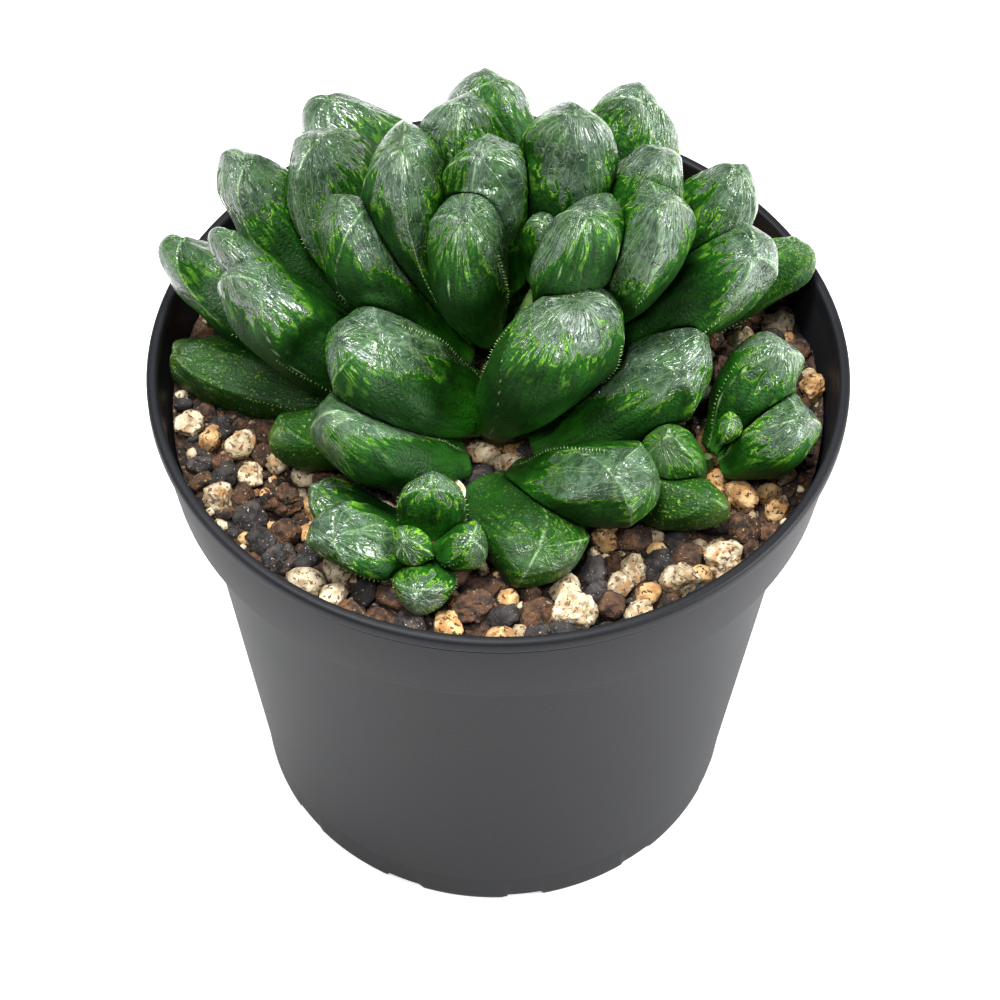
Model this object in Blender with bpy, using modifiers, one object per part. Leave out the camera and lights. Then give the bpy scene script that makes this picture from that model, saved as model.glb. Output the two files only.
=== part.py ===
"""Potted haworthia: a nursery pot, its soil and pebbles, a rosette of leaves and two offsets.

Lengths are in millimetres and angles in degrees until an object is made, when MM turns
lengths to metres. The origin is the middle of the pot's foot, +Z is up and -Y is the front.
An azimuth of 0 points to the front and +90 to +X. A lift is the angle above the horizon.
"""

import math
from collections import namedtuple

import bmesh
import bpy
import numpy as np
from mathutils import Matrix

MM = 0.001
GAP = 0.3  # clearance between two pieces that touch
OBJECT_NAME = "potted_haworthia"
LEAF_EDGE = 60.0  # edges sharper than this stay sharp in the shading
TURNED_EDGE = 35.0
SCREW_MERGE = 0.00001

# Pot: thin, moulded, with a deep collar below a rolled lip
POT_HEIGHT = 87.0
RIM_RADIUS = 50.0
LIP_WIDTH = 1.7
LIP_DEPTH = 1.9
LIP_OVERHANG = 0.6
LIP_EDGE = 0.3  # bevel on the lip's lower edge
COLLAR_DEPTH = 15.1
COLLAR_FOOT_RADIUS = 47.7
COLLAR_EDGE = 0.4  # height of the bevel under the collar
BODY_TOP_RADIUS = 44.6
FOOT_RADIUS = 36.9
FOOT_CHAMFER = 0.7
FOOT_RING_WIDTH = 2.0
RING_DRAFT = 0.3  # how far the foot ring's inner face slopes in
WALL = 1.3
FLOOR_UNDERSIDE = 2.6
FLOOR_THICKNESS = 1.4
FLOOR_ROUND = 1.5  # bevel where the wall meets the floor inside
POT_STEPS = 48

FOOT_NOTCHES = 12
NOTCH_WIDTH = 5.0
NOTCH_HEIGHT = 2.0
FIRST_NOTCH = 8.0
DRAIN_HOLES = 6
DRAIN_DIAMETER = 7.0
DRAIN_CIRCLE = 24.0
DRAIN_SIDES = 16

# Soil: its top is a shallow dish under the rosette
SOIL_TOP = 77.5
SOIL_DISH = 1.5
DISH_RADIUS = 30.0
SOIL_RINGS = (0.0, 8.0, 15.0, 22.0, 30.0, 38.0)  # radii of the points on the dished top
SOIL_ROUND = 2.0  # bevel at the foot of the soil
SOIL_STEPS = 40

# Rosette: the stem leans back and to the right above the soil
CROWN = (1.0, -4.0)
CROWN_BASE = 80.0
CROWN_LEAN = (0.24, 0.5)  # sideways millimetres for each millimetre up
RIGHT_OFFSET = (29.5, -14.0)
LEFT_OFFSET = (-9.0, -30.5)

# (height, radius) from the root tip to the growing point
STEM = ((52, 0.8), (60, 2.4), (70, 4.0), (76, 5.0), (80, 5.6), (86, 4.4), (92, 2.2), (97, 0.8))
OFFSET_STEM = ((64, 0.5), (72, 1.3), (79, 1.4), (83, 0.6))
STEM_SIDES = 14
BURIED_BELOW = SOIL_TOP - SOIL_DISH - 1.0  # a stem's outline below this fills a hollow in the soil
HOLLOW_MOUTH = 2.0  # how far that hollow is cut past the soil's top

# A leaf starts on its seat, a point beside the stem, and curls up from lift to lift + curl
Leaf = namedtuple("Leaf", "seat_azimuth seat height azimuth lift length width thickness roll curl")
ROSETTE = (
    Leaf(-20, 0.5, 98, 155, 77, 12, 6, 5, 0, 5),
    Leaf(155, 4, 95, 155, 70, 29, 14, 10, 0, 10),
    Leaf(-128, 4, 95, -136, 73, 26, 14, 9, 0, 10),
    Leaf(71, 4, 94, 54, 76, 25, 16, 10, 0, 10),
    Leaf(-71, 5, 93, -100, 75, 24, 17, 10, -4, 8),
    Leaf(-145, 6, 91, -153, 55, 32, 14, 10, 0, 20),
    Leaf(90, 6, 92, 92, 54, 29, 14, 11, 0, 20),
    Leaf(-117, 7, 89, -115, 56, 36, 16, 10, 0, 30),
    Leaf(126, 6, 89, 116, 49, 33, 13, 10, 0, 25),
    Leaf(-174, 7, 88, -164, 44, 36, 16, 10, 0, 25),
    Leaf(-124, 8, 85, -124, 24, 40, 18, 11, 0, 45),
    Leaf(-100, 7, 86, -100, 45, 34, 14, 11, 0, 25),
    Leaf(-4, 6, 83, 83, 68, 29, 22, 12, -12, 11),
    Leaf(148, 9, 87, 149, 37, 36, 17, 10, 0, 25),
    Leaf(99, 7, 85, 99, 28, 37, 12, 11, 0, 25),
    Leaf(26, 9, 81, 105, 25, 30, 14, 11, 0, 20),
    Leaf(-42, 4, 83, -75, 37, 31, 17, 11, -20, 16),
    Leaf(-88, 8, 82, -88, 23, 41, 12, 12, 0, 40),
    Leaf(-115, 8, 84, -115, 14, 46, 13, 11, 0, 45),
    Leaf(-176, 12, 90, -122, 17, 39, 18, 10, -8, 12),
    Leaf(-166, 9, 83, -166, 13, 37, 9, 7, 0, 20),
    Leaf(117, 9, 84, 117, 29, 39, 13, 10, 0, 35),
    Leaf(135, 12, 81, 121, 4, 40, 10, 10, 45, 28),
    Leaf(-106, 8, 82, -106, 0, 47, 12, 10, 0, 40),
    Leaf(-98, 8, 83, -97, 21, 43, 7, 8, 0, 35),
    Leaf(-100, 8, 81, -98, -4, 41, 14, 10, 0, 12),
    Leaf(-70, 9, 80, -70, 13, 27, 10, 8, 0, 10),
    Leaf(-38, 10, 80, -66, 34, 26, 16, 10, -5, 12),
    Leaf(6, 11.5, 80, 57, 28, 27, 13, 10, 0, 10),
    Leaf(-12, 13, 80, 31, 6, 22, 14, 9, 0, 10),
    Leaf(40, 13, 80, 61, 9, 26, 9, 8, 0, 10),
    Leaf(176, 9, 81, 178, 8, 38, 12, 10, 0, 25),
    Leaf(157, 9, 81, 158, 4, 37, 12, 10, 0, 25),
)
RIGHT_OFFSET_LEAVES = (
    Leaf(137, 2, 82, 137, 45, 19, 11, 9, 0, 15),
    Leaf(96, 2, 82, 96, 32, 15, 12, 9, 0, 15),
    Leaf(-60, 2, 82, -60, 51, 10, 10, 8, 0, 10),
    Leaf(83, 1, 87, 83, 63, 5, 4, 3, 0, 0),
)
LEFT_OFFSET_LEAVES = (
    Leaf(-118, 2, 81, -118, 5, 17, 8, 6, 0, 10),
    Leaf(-85, 1, 81, -85, 24, 17, 10, 7, 0, 10),
    Leaf(178, 1, 83, 178, 56, 9, 9, 6, 0, 5),
    Leaf(67, 1, 83, 67, 31, 8, 7, 6, 0, 10),
    Leaf(-7, 1, 81, -7, 16, 10, 8, 6, 0, 10),
    Leaf(-44, 1, 84, -44, 40, 5, 6, 5, 0, 5),
)
DRY_LEAF_BASE = Leaf(-26, 14.5, 80, -20, 20, 6, 6, 2, 0, 0)
LEAF_SIDES = 10
LEAF_STATIONS = (0.0, 0.16, 0.36, 0.56, 0.74, 0.87, 0.95)  # where the rings lie, in leaf lengths
SEAT_WIDTH = 0.5  # width at the seat, as a share of the full width
FULL_AT = 0.6  # where a leaf reaches its full width
NOSE_FROM = 0.58  # where the rounded nose begins
NOSE_POWER = 2.3
UPPER_SHARE = 0.42  # share of the thickness above the midline
SECTION_POWER = 2.3  # 2 is an ellipse, more is boxier
PRESS_GAP = 0.14  # clearance between two leaves, as a share of their half thickness
THINNEST = 0.1  # a pressed leaf keeps at least this share of its section
PRESS_STEPS = 24  # samples from a leaf's midline to its skin
HEEL = 0.5  # how far a leaf's room reaches behind its seat, in thicknesses

# Pebbles: (x, y, longest size), each resting on the soil
PEBBLES = (
    ("pumice_pebble_1", -39.0, -19.5, 5.6),
    ("pumice_pebble_2", -34.9, -15.6, 4.8),
    ("pumice_pebble_3", -44.0, -6.4, 5.2),
    ("pumice_pebble_4", 25.3, -33.2, 6.6),
    ("pumice_pebble_5", 19.0, -31.2, 5.0),
    ("pumice_pebble_6", 31.6, -29.5, 6.8),
    ("pumice_pebble_7", 10.8, -39.0, 7.6),
    ("clay_pebble_1", 45.0, 1.5, 5.4),
    ("lava_pebble_1", -30.0, -20.4, 7.0),
    ("lava_pebble_2", -3.1, -38.6, 7.2),
)
PEBBLE_SHAPE = (1.0, 0.86, 0.74)  # length, breadth and height
DENTS = 7
DENT_DEPTH = 0.10  # as a share of the pebble's radius
DENT_EDGE = 0.55  # cosine of the angle at which a dent ends

GREEN = (0.035, 0.13, 0.022, 1.0)
DARK_PLASTIC = (0.065, 0.067, 0.072, 1.0)
SOIL_BROWN = (0.045, 0.028, 0.018, 1.0)
STEM_GREEN = (0.20, 0.28, 0.08, 1.0)
STRAW = (0.62, 0.52, 0.36, 1.0)
PEBBLE_COLOURS = {
    "pumice": (0.62, 0.53, 0.38, 1.0),
    "clay": (0.42, 0.20, 0.09, 1.0),
    "lava": (0.06, 0.03, 0.025, 1.0),
}


def clear_scene():
    for thing in list(bpy.data.objects):
        bpy.data.objects.remove(thing, do_unlink=True)


def new_collection(name):
    collection = bpy.data.collections.new(name)
    bpy.context.scene.collection.children.link(collection)
    return collection


def material(name, colour, roughness):
    made = bpy.data.materials.new(name)
    made.use_nodes = True
    shader = made.node_tree.nodes["Principled BSDF"]
    shader.inputs["Base Color"].default_value = colour
    shader.inputs["Roughness"].default_value = roughness
    shader.inputs["Metallic"].default_value = 0.0
    return made


def add_object(name, mesh, finish, collection, smooth_below=LEAF_EDGE):
    """Links a mesh as a named object, shaded smooth except across sharp edges."""
    mesh.shade_smooth()
    mesh.set_sharp_from_angle(angle=math.radians(smooth_below))
    made = bpy.data.objects.new(name, mesh)
    if finish:
        made.data.materials.append(finish)
    collection.objects.link(made)
    return made


def turned(name, profile, steps, finish, collection):
    """Turns an open (radius, height) outline, whose ends lie on the axis, about Z."""
    mesh = bpy.data.meshes.new(name)
    points = [(radius * MM, 0.0, height * MM) for radius, height in profile]
    edges = [(i, i + 1) for i in range(len(points) - 1)]
    mesh.from_pydata(points, edges, [])
    made = add_object(name, mesh, finish, collection, TURNED_EDGE)
    screw = made.modifiers.new("turn", "SCREW")
    screw.steps = steps
    screw.render_steps = steps
    screw.use_merge_vertices = True
    screw.merge_threshold = SCREW_MERGE
    screw.use_smooth_shade = True
    return made


def loft(name, rings, tip, finish, collection):
    """Skins rings of points, with a flat cap on the first and a point or a cap on the last."""
    count, sides = rings.shape[:2]
    points = [tuple(point) for point in rings.reshape(-1, 3) * MM]
    faces = []
    for ring in range(count - 1):
        for side in range(sides):
            low = ring * sides + side
            low_next = ring * sides + (side + 1) % sides
            faces.append((low, low_next, low_next + sides, low + sides))
    faces.append(tuple(reversed(range(sides))))
    last = (count - 1) * sides
    if tip is None:
        faces.append(tuple(range(last, last + sides)))
    else:
        points.append(tuple(tip * MM))
        for side in range(sides):
            faces.append((last + side, last + (side + 1) % sides, len(points) - 1))
    mesh = bpy.data.meshes.new(name)
    mesh.from_pydata(points, [], faces)
    shape = bmesh.new()
    shape.from_mesh(mesh)
    bmesh.ops.recalc_face_normals(shape, faces=shape.faces)
    shape.to_mesh(mesh)
    shape.free()
    return add_object(name, mesh, finish, collection)


def subtract(target, cutter):
    boolean = target.modifiers.new("cut_" + cutter.name, "BOOLEAN")
    boolean.operation = "DIFFERENCE"
    boolean.solver = "EXACT"
    boolean.object = cutter


def hide_cutter(cutter):
    cutter.hide_render = True
    cutter.display_type = "WIRE"


# Pot


def collar_foot_height():
    return POT_HEIGHT - COLLAR_DEPTH


def pot_inner_radius(height):
    """Radius of the wall's inner face, following the body, the step and the collar."""
    step_low = collar_foot_height() - WALL
    step_high = collar_foot_height() + WALL
    heights = (FLOOR_UNDERSIDE, step_low, step_high, POT_HEIGHT)
    radii = (
        FOOT_RADIUS - WALL,
        BODY_TOP_RADIUS - WALL,
        COLLAR_FOOT_RADIUS - WALL,
        RIM_RADIUS - LIP_WIDTH,
    )
    return np.interp(height, heights, radii)


def pot_profile():
    """From the floor's middle up the inner face, over the lip and down the outer face."""
    floor_top = FLOOR_UNDERSIDE + FLOOR_THICKNESS
    step = collar_foot_height()
    lip_inner = RIM_RADIUS - LIP_WIDTH
    lip_round = LIP_WIDTH / 3
    under_lip = RIM_RADIUS - LIP_OVERHANG
    ring_inner = FOOT_RADIUS - FOOT_CHAMFER - FOOT_RING_WIDTH
    return [
        (0.0, floor_top),
        (float(pot_inner_radius(floor_top)) - FLOOR_ROUND, floor_top),
        (float(pot_inner_radius(floor_top + FLOOR_ROUND)), floor_top + FLOOR_ROUND),
        (float(pot_inner_radius(step - WALL)), step - WALL),
        (float(pot_inner_radius(step + WALL)), step + WALL),
        (lip_inner, POT_HEIGHT - lip_round),
        (lip_inner + lip_round, POT_HEIGHT),
        (RIM_RADIUS - lip_round, POT_HEIGHT),
        (RIM_RADIUS, POT_HEIGHT - lip_round),
        (RIM_RADIUS, POT_HEIGHT - LIP_DEPTH + LIP_EDGE),
        (under_lip, POT_HEIGHT - LIP_DEPTH),
        (COLLAR_FOOT_RADIUS, step),
        (COLLAR_FOOT_RADIUS - 1.5 * COLLAR_EDGE, step - COLLAR_EDGE),
        (BODY_TOP_RADIUS, step - COLLAR_EDGE),
        (FOOT_RADIUS, FOOT_CHAMFER * 2),
        (FOOT_RADIUS - FOOT_CHAMFER, 0.0),
        (ring_inner, 0.0),
        (ring_inner - RING_DRAFT, FLOOR_UNDERSIDE),
        (0.0, FLOOR_UNDERSIDE),
    ]


def foot_cutter(collection):
    """Twelve notches through the foot ring and the drain holes through the floor, as one cutter."""
    shape = bmesh.new()
    for index in range(FOOT_NOTCHES):
        angle = math.radians(FIRST_NOTCH + index * 360.0 / FOOT_NOTCHES)
        place = Matrix.Rotation(angle, 4, "Z") @ Matrix.Translation((0.0, -FOOT_RADIUS * MM, 0.0))
        size = Matrix.Diagonal((NOTCH_WIDTH * MM, 4 * FOOT_RING_WIDTH * MM, 2 * NOTCH_HEIGHT * MM, 1.0))
        bmesh.ops.create_cube(shape, size=1.0, matrix=place @ size)
    for index in range(DRAIN_HOLES):
        angle = math.radians(index * 360.0 / DRAIN_HOLES)
        middle = (
            DRAIN_CIRCLE * MM * math.sin(angle),
            -DRAIN_CIRCLE * MM * math.cos(angle),
            FLOOR_UNDERSIDE * MM,
        )
        bmesh.ops.create_cone(
            shape,
            cap_ends=True,
            segments=DRAIN_SIDES,
            radius1=DRAIN_DIAMETER / 2 * MM,
            radius2=DRAIN_DIAMETER / 2 * MM,
            depth=6 * FLOOR_THICKNESS * MM,
            matrix=Matrix.Translation(middle),
        )
    mesh = bpy.data.meshes.new("foot_cutter")
    shape.to_mesh(mesh)
    shape.free()
    cutter = add_object("foot_cutter", mesh, None, collection)
    hide_cutter(cutter)
    return cutter


def make_pot(parts, cutters):
    plastic = material("matt_dark_polypropylene", DARK_PLASTIC, 0.5)
    pot = turned("pot", pot_profile(), POT_STEPS, plastic, parts)
    subtract(pot, foot_cutter(cutters))


# Soil


def soil_height(radius):
    """Height of the soil's top, lowest in the middle and level beyond the dish."""
    share = np.clip(np.asarray(radius) / DISH_RADIUS, 0.0, 1.0)
    return SOIL_TOP - SOIL_DISH * (1.0 + np.cos(math.pi * share)) / 2.0


def soil_profile():
    """Down the dished top from the middle, then down the pot's inner face and in along its floor."""
    low = FLOOR_UNDERSIDE + FLOOR_THICKNESS + GAP
    step = collar_foot_height()
    top = [(radius, float(soil_height(radius))) for radius in SOIL_RINGS]
    sides = [(float(pot_inner_radius(SOIL_TOP)) - GAP, SOIL_TOP)]
    sides.append((float(pot_inner_radius(step + WALL)) - GAP, step + WALL + GAP))
    sides.append((float(pot_inner_radius(step - WALL)) - GAP, step - WALL + GAP))
    sides.append((float(pot_inner_radius(low + SOIL_ROUND)) - GAP, low + SOIL_ROUND))
    sides.append((float(pot_inner_radius(low)) - SOIL_ROUND, low))
    return top + sides + [(0.0, low)]


def crown_axis(height):
    """Middle of the stem at a height: upright in the soil and leaning above it."""
    rise = np.maximum(np.asarray(height, float) - CROWN_BASE, 0.0)
    return np.stack([CROWN[0] + CROWN_LEAN[0] * rise, CROWN[1] + CROWN_LEAN[1] * rise], -1)


def stem_rings(outline, axis, extra):
    angles = np.arange(STEM_SIDES) * 2.0 * math.pi / STEM_SIDES
    rings = []
    for height, radius in outline:
        x, y = axis(height)
        across = (radius + extra) * np.cos(angles)
        along = (radius + extra) * np.sin(angles)
        level = np.full(STEM_SIDES, float(height))
        rings.append(np.stack([x + across, y + along, level], -1))
    return np.array(rings)


def right_axis(height):
    return np.zeros(np.shape(height) + (2,)) + RIGHT_OFFSET


def left_axis(height):
    return np.zeros(np.shape(height) + (2,)) + LEFT_OFFSET


STEMS = ((STEM, crown_axis), (OFFSET_STEM, right_axis), (OFFSET_STEM, left_axis))


def make_stem(name, outline, axis, soil, parts, cutters):
    """A tapered stem with its rootstock, and the hollow that it fills in the soil."""
    loft(name, stem_rings(outline, axis, 0.0), None, bpy.data.materials["stem_skin"], parts)
    buried = [row for row in outline if row[0] < BURIED_BELOW]
    mouth = (SOIL_TOP + HOLLOW_MOUTH, max(radius for _, radius in outline))
    hollow = [(buried[0][0] - GAP, buried[0][1])] + buried[1:] + [mouth]
    cutter = loft(name + "_hollow", stem_rings(hollow, axis, GAP), None, None, cutters)
    hide_cutter(cutter)
    subtract(soil, cutter)


def make_soil_and_stems(parts, cutters):
    material("stem_skin", STEM_GREEN, 0.6)
    brown = material("bark_and_grit_soil", SOIL_BROWN, 0.95)
    soil = turned("soil", soil_profile(), SOIL_STEPS, brown, parts)
    for name, (outline, axis) in zip(("stem", "right_offset_stem", "left_offset_stem"), STEMS):
        make_stem(name, outline, axis, soil, parts, cutters)


# Leaves


def heading(azimuth):
    angle = math.radians(azimuth)
    return np.array([math.sin(angle), -math.cos(angle), 0.0])


def leaf_frame(leaf):
    """Directions along, across and up through a leaf at its seat, as rows."""
    out = heading(leaf.azimuth)
    side = np.array([-out[1], out[0], 0.0])
    lift = math.radians(leaf.lift)
    roll = math.radians(leaf.roll)
    along = out * math.cos(lift) + np.array([0.0, 0.0, math.sin(lift)])
    up = np.array([0.0, 0.0, math.cos(lift)]) - out * math.sin(lift)
    across = side * math.cos(roll) + up * math.sin(roll)
    return np.array([along, across, up * math.cos(roll) - side * math.sin(roll)])


def leaf_seat(leaf, axis):
    x, y = axis(leaf.height)
    return np.array([x, y, leaf.height]) + leaf.seat * heading(leaf.seat_azimuth)


def half_sizes(leaf, distance):
    """Half width, and thickness above and below the midline, at a distance along the leaf."""
    share = np.clip(distance / leaf.length, 0.0, 1.0)
    swell = np.sin(np.clip(share / FULL_AT, 0.0, 1.0) * math.pi / 2.0)
    nose = np.clip((share - NOSE_FROM) / (1.0 - NOSE_FROM), 0.0, 1.0) ** NOSE_POWER
    size = (SEAT_WIDTH + (1.0 - SEAT_WIDTH) * swell) * np.sqrt(1.0 - nose)
    size = np.maximum(size, 0.001)
    upper = leaf.thickness * UPPER_SHARE * size
    lower = leaf.thickness * (1.0 - UPPER_SHARE) * size
    return leaf.width / 2.0 * size, upper, lower


def to_world(leaf, seat, local):
    """Bends local points along the leaf's arc and sets them on the seat."""
    bend = math.radians(max(leaf.curl, 0.01)) / leaf.length
    reach = 1.0 / bend - local[..., 2]
    bent = np.stack(
        [
            reach * np.sin(bend * local[..., 0]),
            local[..., 1],
            1.0 / bend - reach * np.cos(bend * local[..., 0]),
        ],
        -1,
    )
    return seat + bent @ leaf_frame(leaf)


def to_local(leaf, seat, world):
    """The inverse of to_world."""
    bent = (world - seat) @ leaf_frame(leaf).T
    bend = math.radians(max(leaf.curl, 0.01)) / leaf.length
    rest = 1.0 / bend - bent[..., 2]
    distance = np.arctan2(bent[..., 0], rest) / bend
    return np.stack([distance, bent[..., 1], 1.0 / bend - np.hypot(bent[..., 0], rest)], -1)


def skin_level(leaf, seat, world):
    """0 on a leaf's midline, 1 on its unpressed skin and more outside it."""
    local = to_local(leaf, seat, world)
    width, upper, lower = half_sizes(leaf, local[..., 0])
    depth = np.where(local[..., 2] > 0.0, upper, lower)
    sideways = np.abs(local[..., 1] / width) ** SECTION_POWER
    upright = np.abs(local[..., 2] / depth) ** SECTION_POWER
    level = (sideways + upright) ** (1.0 / SECTION_POWER)
    behind = 1.0 - local[..., 0] / (HEEL * leaf.thickness)
    return np.where(local[..., 0] < 0.0, np.maximum(level, behind), level)


def clear_of_holders(world):
    """Whether points are clear of the soil, the pot's wall and the stems."""
    radius = np.hypot(world[..., 0], world[..., 1])
    above_soil = world[..., 2] > soil_height(radius) + GAP
    in_pot = (radius < pot_inner_radius(world[..., 2]) - GAP) | (world[..., 2] > POT_HEIGHT + GAP)
    clear = above_soil & in_pot
    for outline, axis in STEMS:
        heights, radii = np.array(outline, float).T
        from_stem = np.linalg.norm(world[..., :2] - axis(world[..., 2]), axis=-1)
        beside = from_stem > np.interp(world[..., 2], heights, radii) + GAP
        clear &= beside | (world[..., 2] > heights[-1] + GAP)
    return clear


def section_grid(leaf, seat):
    """Points on a leaf's cross sections, as (station, side, step): from the midline out to the skin."""
    angle = np.arange(LEAF_SIDES) * 2.0 * math.pi / LEAF_SIDES
    power = 2.0 / SECTION_POWER
    cosine = np.sign(np.cos(angle)) * np.abs(np.cos(angle)) ** power
    sine = np.sign(np.sin(angle)) * np.abs(np.sin(angle)) ** power
    distance = np.array(LEAF_STATIONS) * leaf.length
    width, upper, lower = half_sizes(leaf, distance)
    depth = np.where(sine[None, :] > 0.0, upper[:, None], lower[:, None])
    skin = np.stack([0.0 * depth + distance[:, None], width[:, None] * cosine, depth * sine], -1)
    middle = np.stack([distance, 0.0 * distance, 0.0 * distance], -1)[:, None, :]
    share = (np.arange(PRESS_STEPS) + 1.0) / PRESS_STEPS
    return to_world(leaf, seat, middle[:, :, None, :] + (skin - middle)[:, :, None, :] * share[:, None])


def spare_depth(index, grown, points):
    """How much deeper points lie in a leaf than in any neighbour; below 0 they aren't its own."""
    leaf, seat = grown[index]
    own = skin_level(leaf, seat, points)
    spare = np.where(clear_of_holders(points) & (own < 1.0 + 1e-6), 1.0, -1.0)
    for other, (neighbour, neighbour_seat) in enumerate(grown):
        if other != index:
            depth = skin_level(neighbour, neighbour_seat, points) - own - PRESS_GAP
            spare = np.minimum(spare, depth)
    return spare


def pressed_rings(index, grown):
    """A leaf's rings, drawn in wherever it would run into a neighbour, the soil or the pot.

    Each section keeps the room that is deeper inside this leaf than inside any neighbour, so
    two leaves that press together share a flat face. Its rays start in the middle of that room.
    """
    grid = section_grid(*grown[index])
    spare = spare_depth(index, grown, grid)
    room = (spare > 0.0)[..., None] * (np.arange(PRESS_STEPS) + 0.5)[:, None]
    total = room.sum(axis=(1, 2))
    middle = (grid * room).sum(axis=(1, 2)) / np.maximum(total, 1e-9)
    flat = spare.reshape(len(grid), -1)
    freest = grid.reshape(len(grid), -1, 3)[np.arange(len(grid)), flat.argmax(axis=1)]
    middle = np.where(total > 0.0, middle, freest)
    skin = grid[:, :, -1]
    reach = np.full(skin.shape[:2], THINNEST)
    open_way = np.ones(skin.shape[:2], bool)
    for share in np.linspace(THINNEST, 1.0, 2 * PRESS_STEPS):
        points = middle[:, None] + (skin - middle[:, None]) * share
        open_way &= spare_depth(index, grown, points) > 0.0
        reach = np.where(open_way, share, reach)
    return middle[:, None] + (skin - middle[:, None]) * reach[..., None]


def all_leaves():
    """Every leaf as (name, leaf, seat)."""
    rows = [("leaf_%02d" % (i + 1), leaf, crown_axis) for i, leaf in enumerate(ROSETTE)]
    rows += [
        ("right_offset_leaf_%d" % (i + 1), leaf, right_axis)
        for i, leaf in enumerate(RIGHT_OFFSET_LEAVES)
    ]
    rows += [
        ("left_offset_leaf_%d" % (i + 1), leaf, left_axis)
        for i, leaf in enumerate(LEFT_OFFSET_LEAVES)
    ]
    rows.append(("dry_leaf_base", DRY_LEAF_BASE, crown_axis))
    return [(name, leaf, leaf_seat(leaf, axis)) for name, leaf, axis in rows]


def make_leaves(parts):
    green = material("haworthia_leaf_skin", GREEN, 0.3)
    straw = material("dry_leaf_tissue", STRAW, 0.8)
    rows = all_leaves()
    grown = [(leaf, seat) for _, leaf, seat in rows]
    for index, (name, leaf, seat) in enumerate(rows):
        tip = to_world(leaf, seat, np.array([leaf.length, 0.0, 0.0]))
        loft(name, pressed_rings(index, grown), tip, straw if "dry" in name else green, parts)


# Pebbles


def make_pebble(name, x, y, size, seed, finish, parts):
    """A rounded lump, from a sphere flattened, turned and dented by a seeded set of dents."""
    dice = np.random.RandomState(seed)
    shape = bmesh.new()
    bmesh.ops.create_icosphere(shape, subdivisions=2, radius=size / 2 * MM)
    points = np.array([tuple(corner.co) for corner in shape.verts])
    outward = points / np.linalg.norm(points, axis=1, keepdims=True)
    dents = dice.normal(size=(DENTS, 3))
    dents /= np.linalg.norm(dents, axis=1, keepdims=True)
    pressed = np.clip((outward @ dents.T - DENT_EDGE) / (1.0 - DENT_EDGE), 0.0, 1.0).sum(axis=1)
    points *= (1.0 - DENT_DEPTH * pressed)[:, None]
    points *= np.array(PEBBLE_SHAPE)
    turn = dice.uniform(0.0, 2.0 * math.pi)
    spin = np.array(Matrix.Rotation(turn, 3, "Z"))
    points = points @ spin.T
    rest = float(soil_height(math.hypot(x, y))) + GAP
    points += np.array([x, y, rest]) * MM - np.array([0.0, 0.0, points[:, 2].min()])
    for corner, place in zip(shape.verts, points):
        corner.co = place
    mesh = bpy.data.meshes.new(name)
    shape.to_mesh(mesh)
    shape.free()
    add_object(name, mesh, finish, parts)


def make_pebbles(parts):
    finishes = {kind: material(kind, colour, 0.9) for kind, colour in PEBBLE_COLOURS.items()}
    for seed, (name, x, y, size) in enumerate(PEBBLES):
        make_pebble(name, x, y, size, seed, finishes[name.split("_")[0]], parts)


def main():
    clear_scene()
    parts = new_collection(OBJECT_NAME)
    cutters = new_collection("cutters")
    make_pot(parts, cutters)
    make_soil_and_stems(parts, cutters)
    make_leaves(parts)
    make_pebbles(parts)


main()
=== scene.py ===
import functools
import math

import bpy
import numpy as np
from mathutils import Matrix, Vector


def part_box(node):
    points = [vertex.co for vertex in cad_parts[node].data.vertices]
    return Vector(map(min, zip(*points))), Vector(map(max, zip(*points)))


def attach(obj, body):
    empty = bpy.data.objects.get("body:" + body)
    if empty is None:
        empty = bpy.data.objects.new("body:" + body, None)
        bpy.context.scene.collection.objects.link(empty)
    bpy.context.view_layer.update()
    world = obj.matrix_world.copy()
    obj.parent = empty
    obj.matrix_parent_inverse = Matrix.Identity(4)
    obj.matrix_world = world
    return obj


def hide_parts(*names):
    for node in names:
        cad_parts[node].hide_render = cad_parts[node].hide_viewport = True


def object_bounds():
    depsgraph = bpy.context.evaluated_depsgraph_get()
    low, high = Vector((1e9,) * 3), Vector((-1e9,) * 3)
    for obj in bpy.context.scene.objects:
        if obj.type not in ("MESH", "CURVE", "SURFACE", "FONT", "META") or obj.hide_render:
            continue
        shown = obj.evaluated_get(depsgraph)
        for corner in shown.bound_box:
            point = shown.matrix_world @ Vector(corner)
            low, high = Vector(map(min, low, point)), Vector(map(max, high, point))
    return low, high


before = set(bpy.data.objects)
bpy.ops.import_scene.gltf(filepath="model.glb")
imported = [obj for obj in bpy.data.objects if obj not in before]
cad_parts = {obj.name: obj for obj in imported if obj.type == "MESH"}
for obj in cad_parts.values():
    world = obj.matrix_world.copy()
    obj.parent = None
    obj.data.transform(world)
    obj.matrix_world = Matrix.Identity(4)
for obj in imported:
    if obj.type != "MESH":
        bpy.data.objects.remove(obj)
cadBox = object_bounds()
mm = 0.001
print("frame loaded with", len(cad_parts), "nodes")


# ---- meshes ----

def ripple(points, size, seed, count=14):
    # Smooth noise about 0: a sum of sine waves with drawn directions, each about size long
    dice = np.random.RandomState(seed)
    heading = dice.normal(size=(count, 3))
    heading /= np.linalg.norm(heading, axis=1, keepdims=True)
    waves = heading * (2 * math.pi / size) * dice.uniform(0.7, 1.4, (count, 1))
    return np.sin(points @ waves.T + dice.uniform(0, 2 * math.pi, count)).sum(-1) / math.sqrt(count)


def smoothStep(low, high, value):
    # 0 below low, 1 above high, and 3 t^2 - 2 t^3 between
    share = np.clip((value - low) / (high - low), 0, 1)
    return share * share * (3 - 2 * share)


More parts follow.
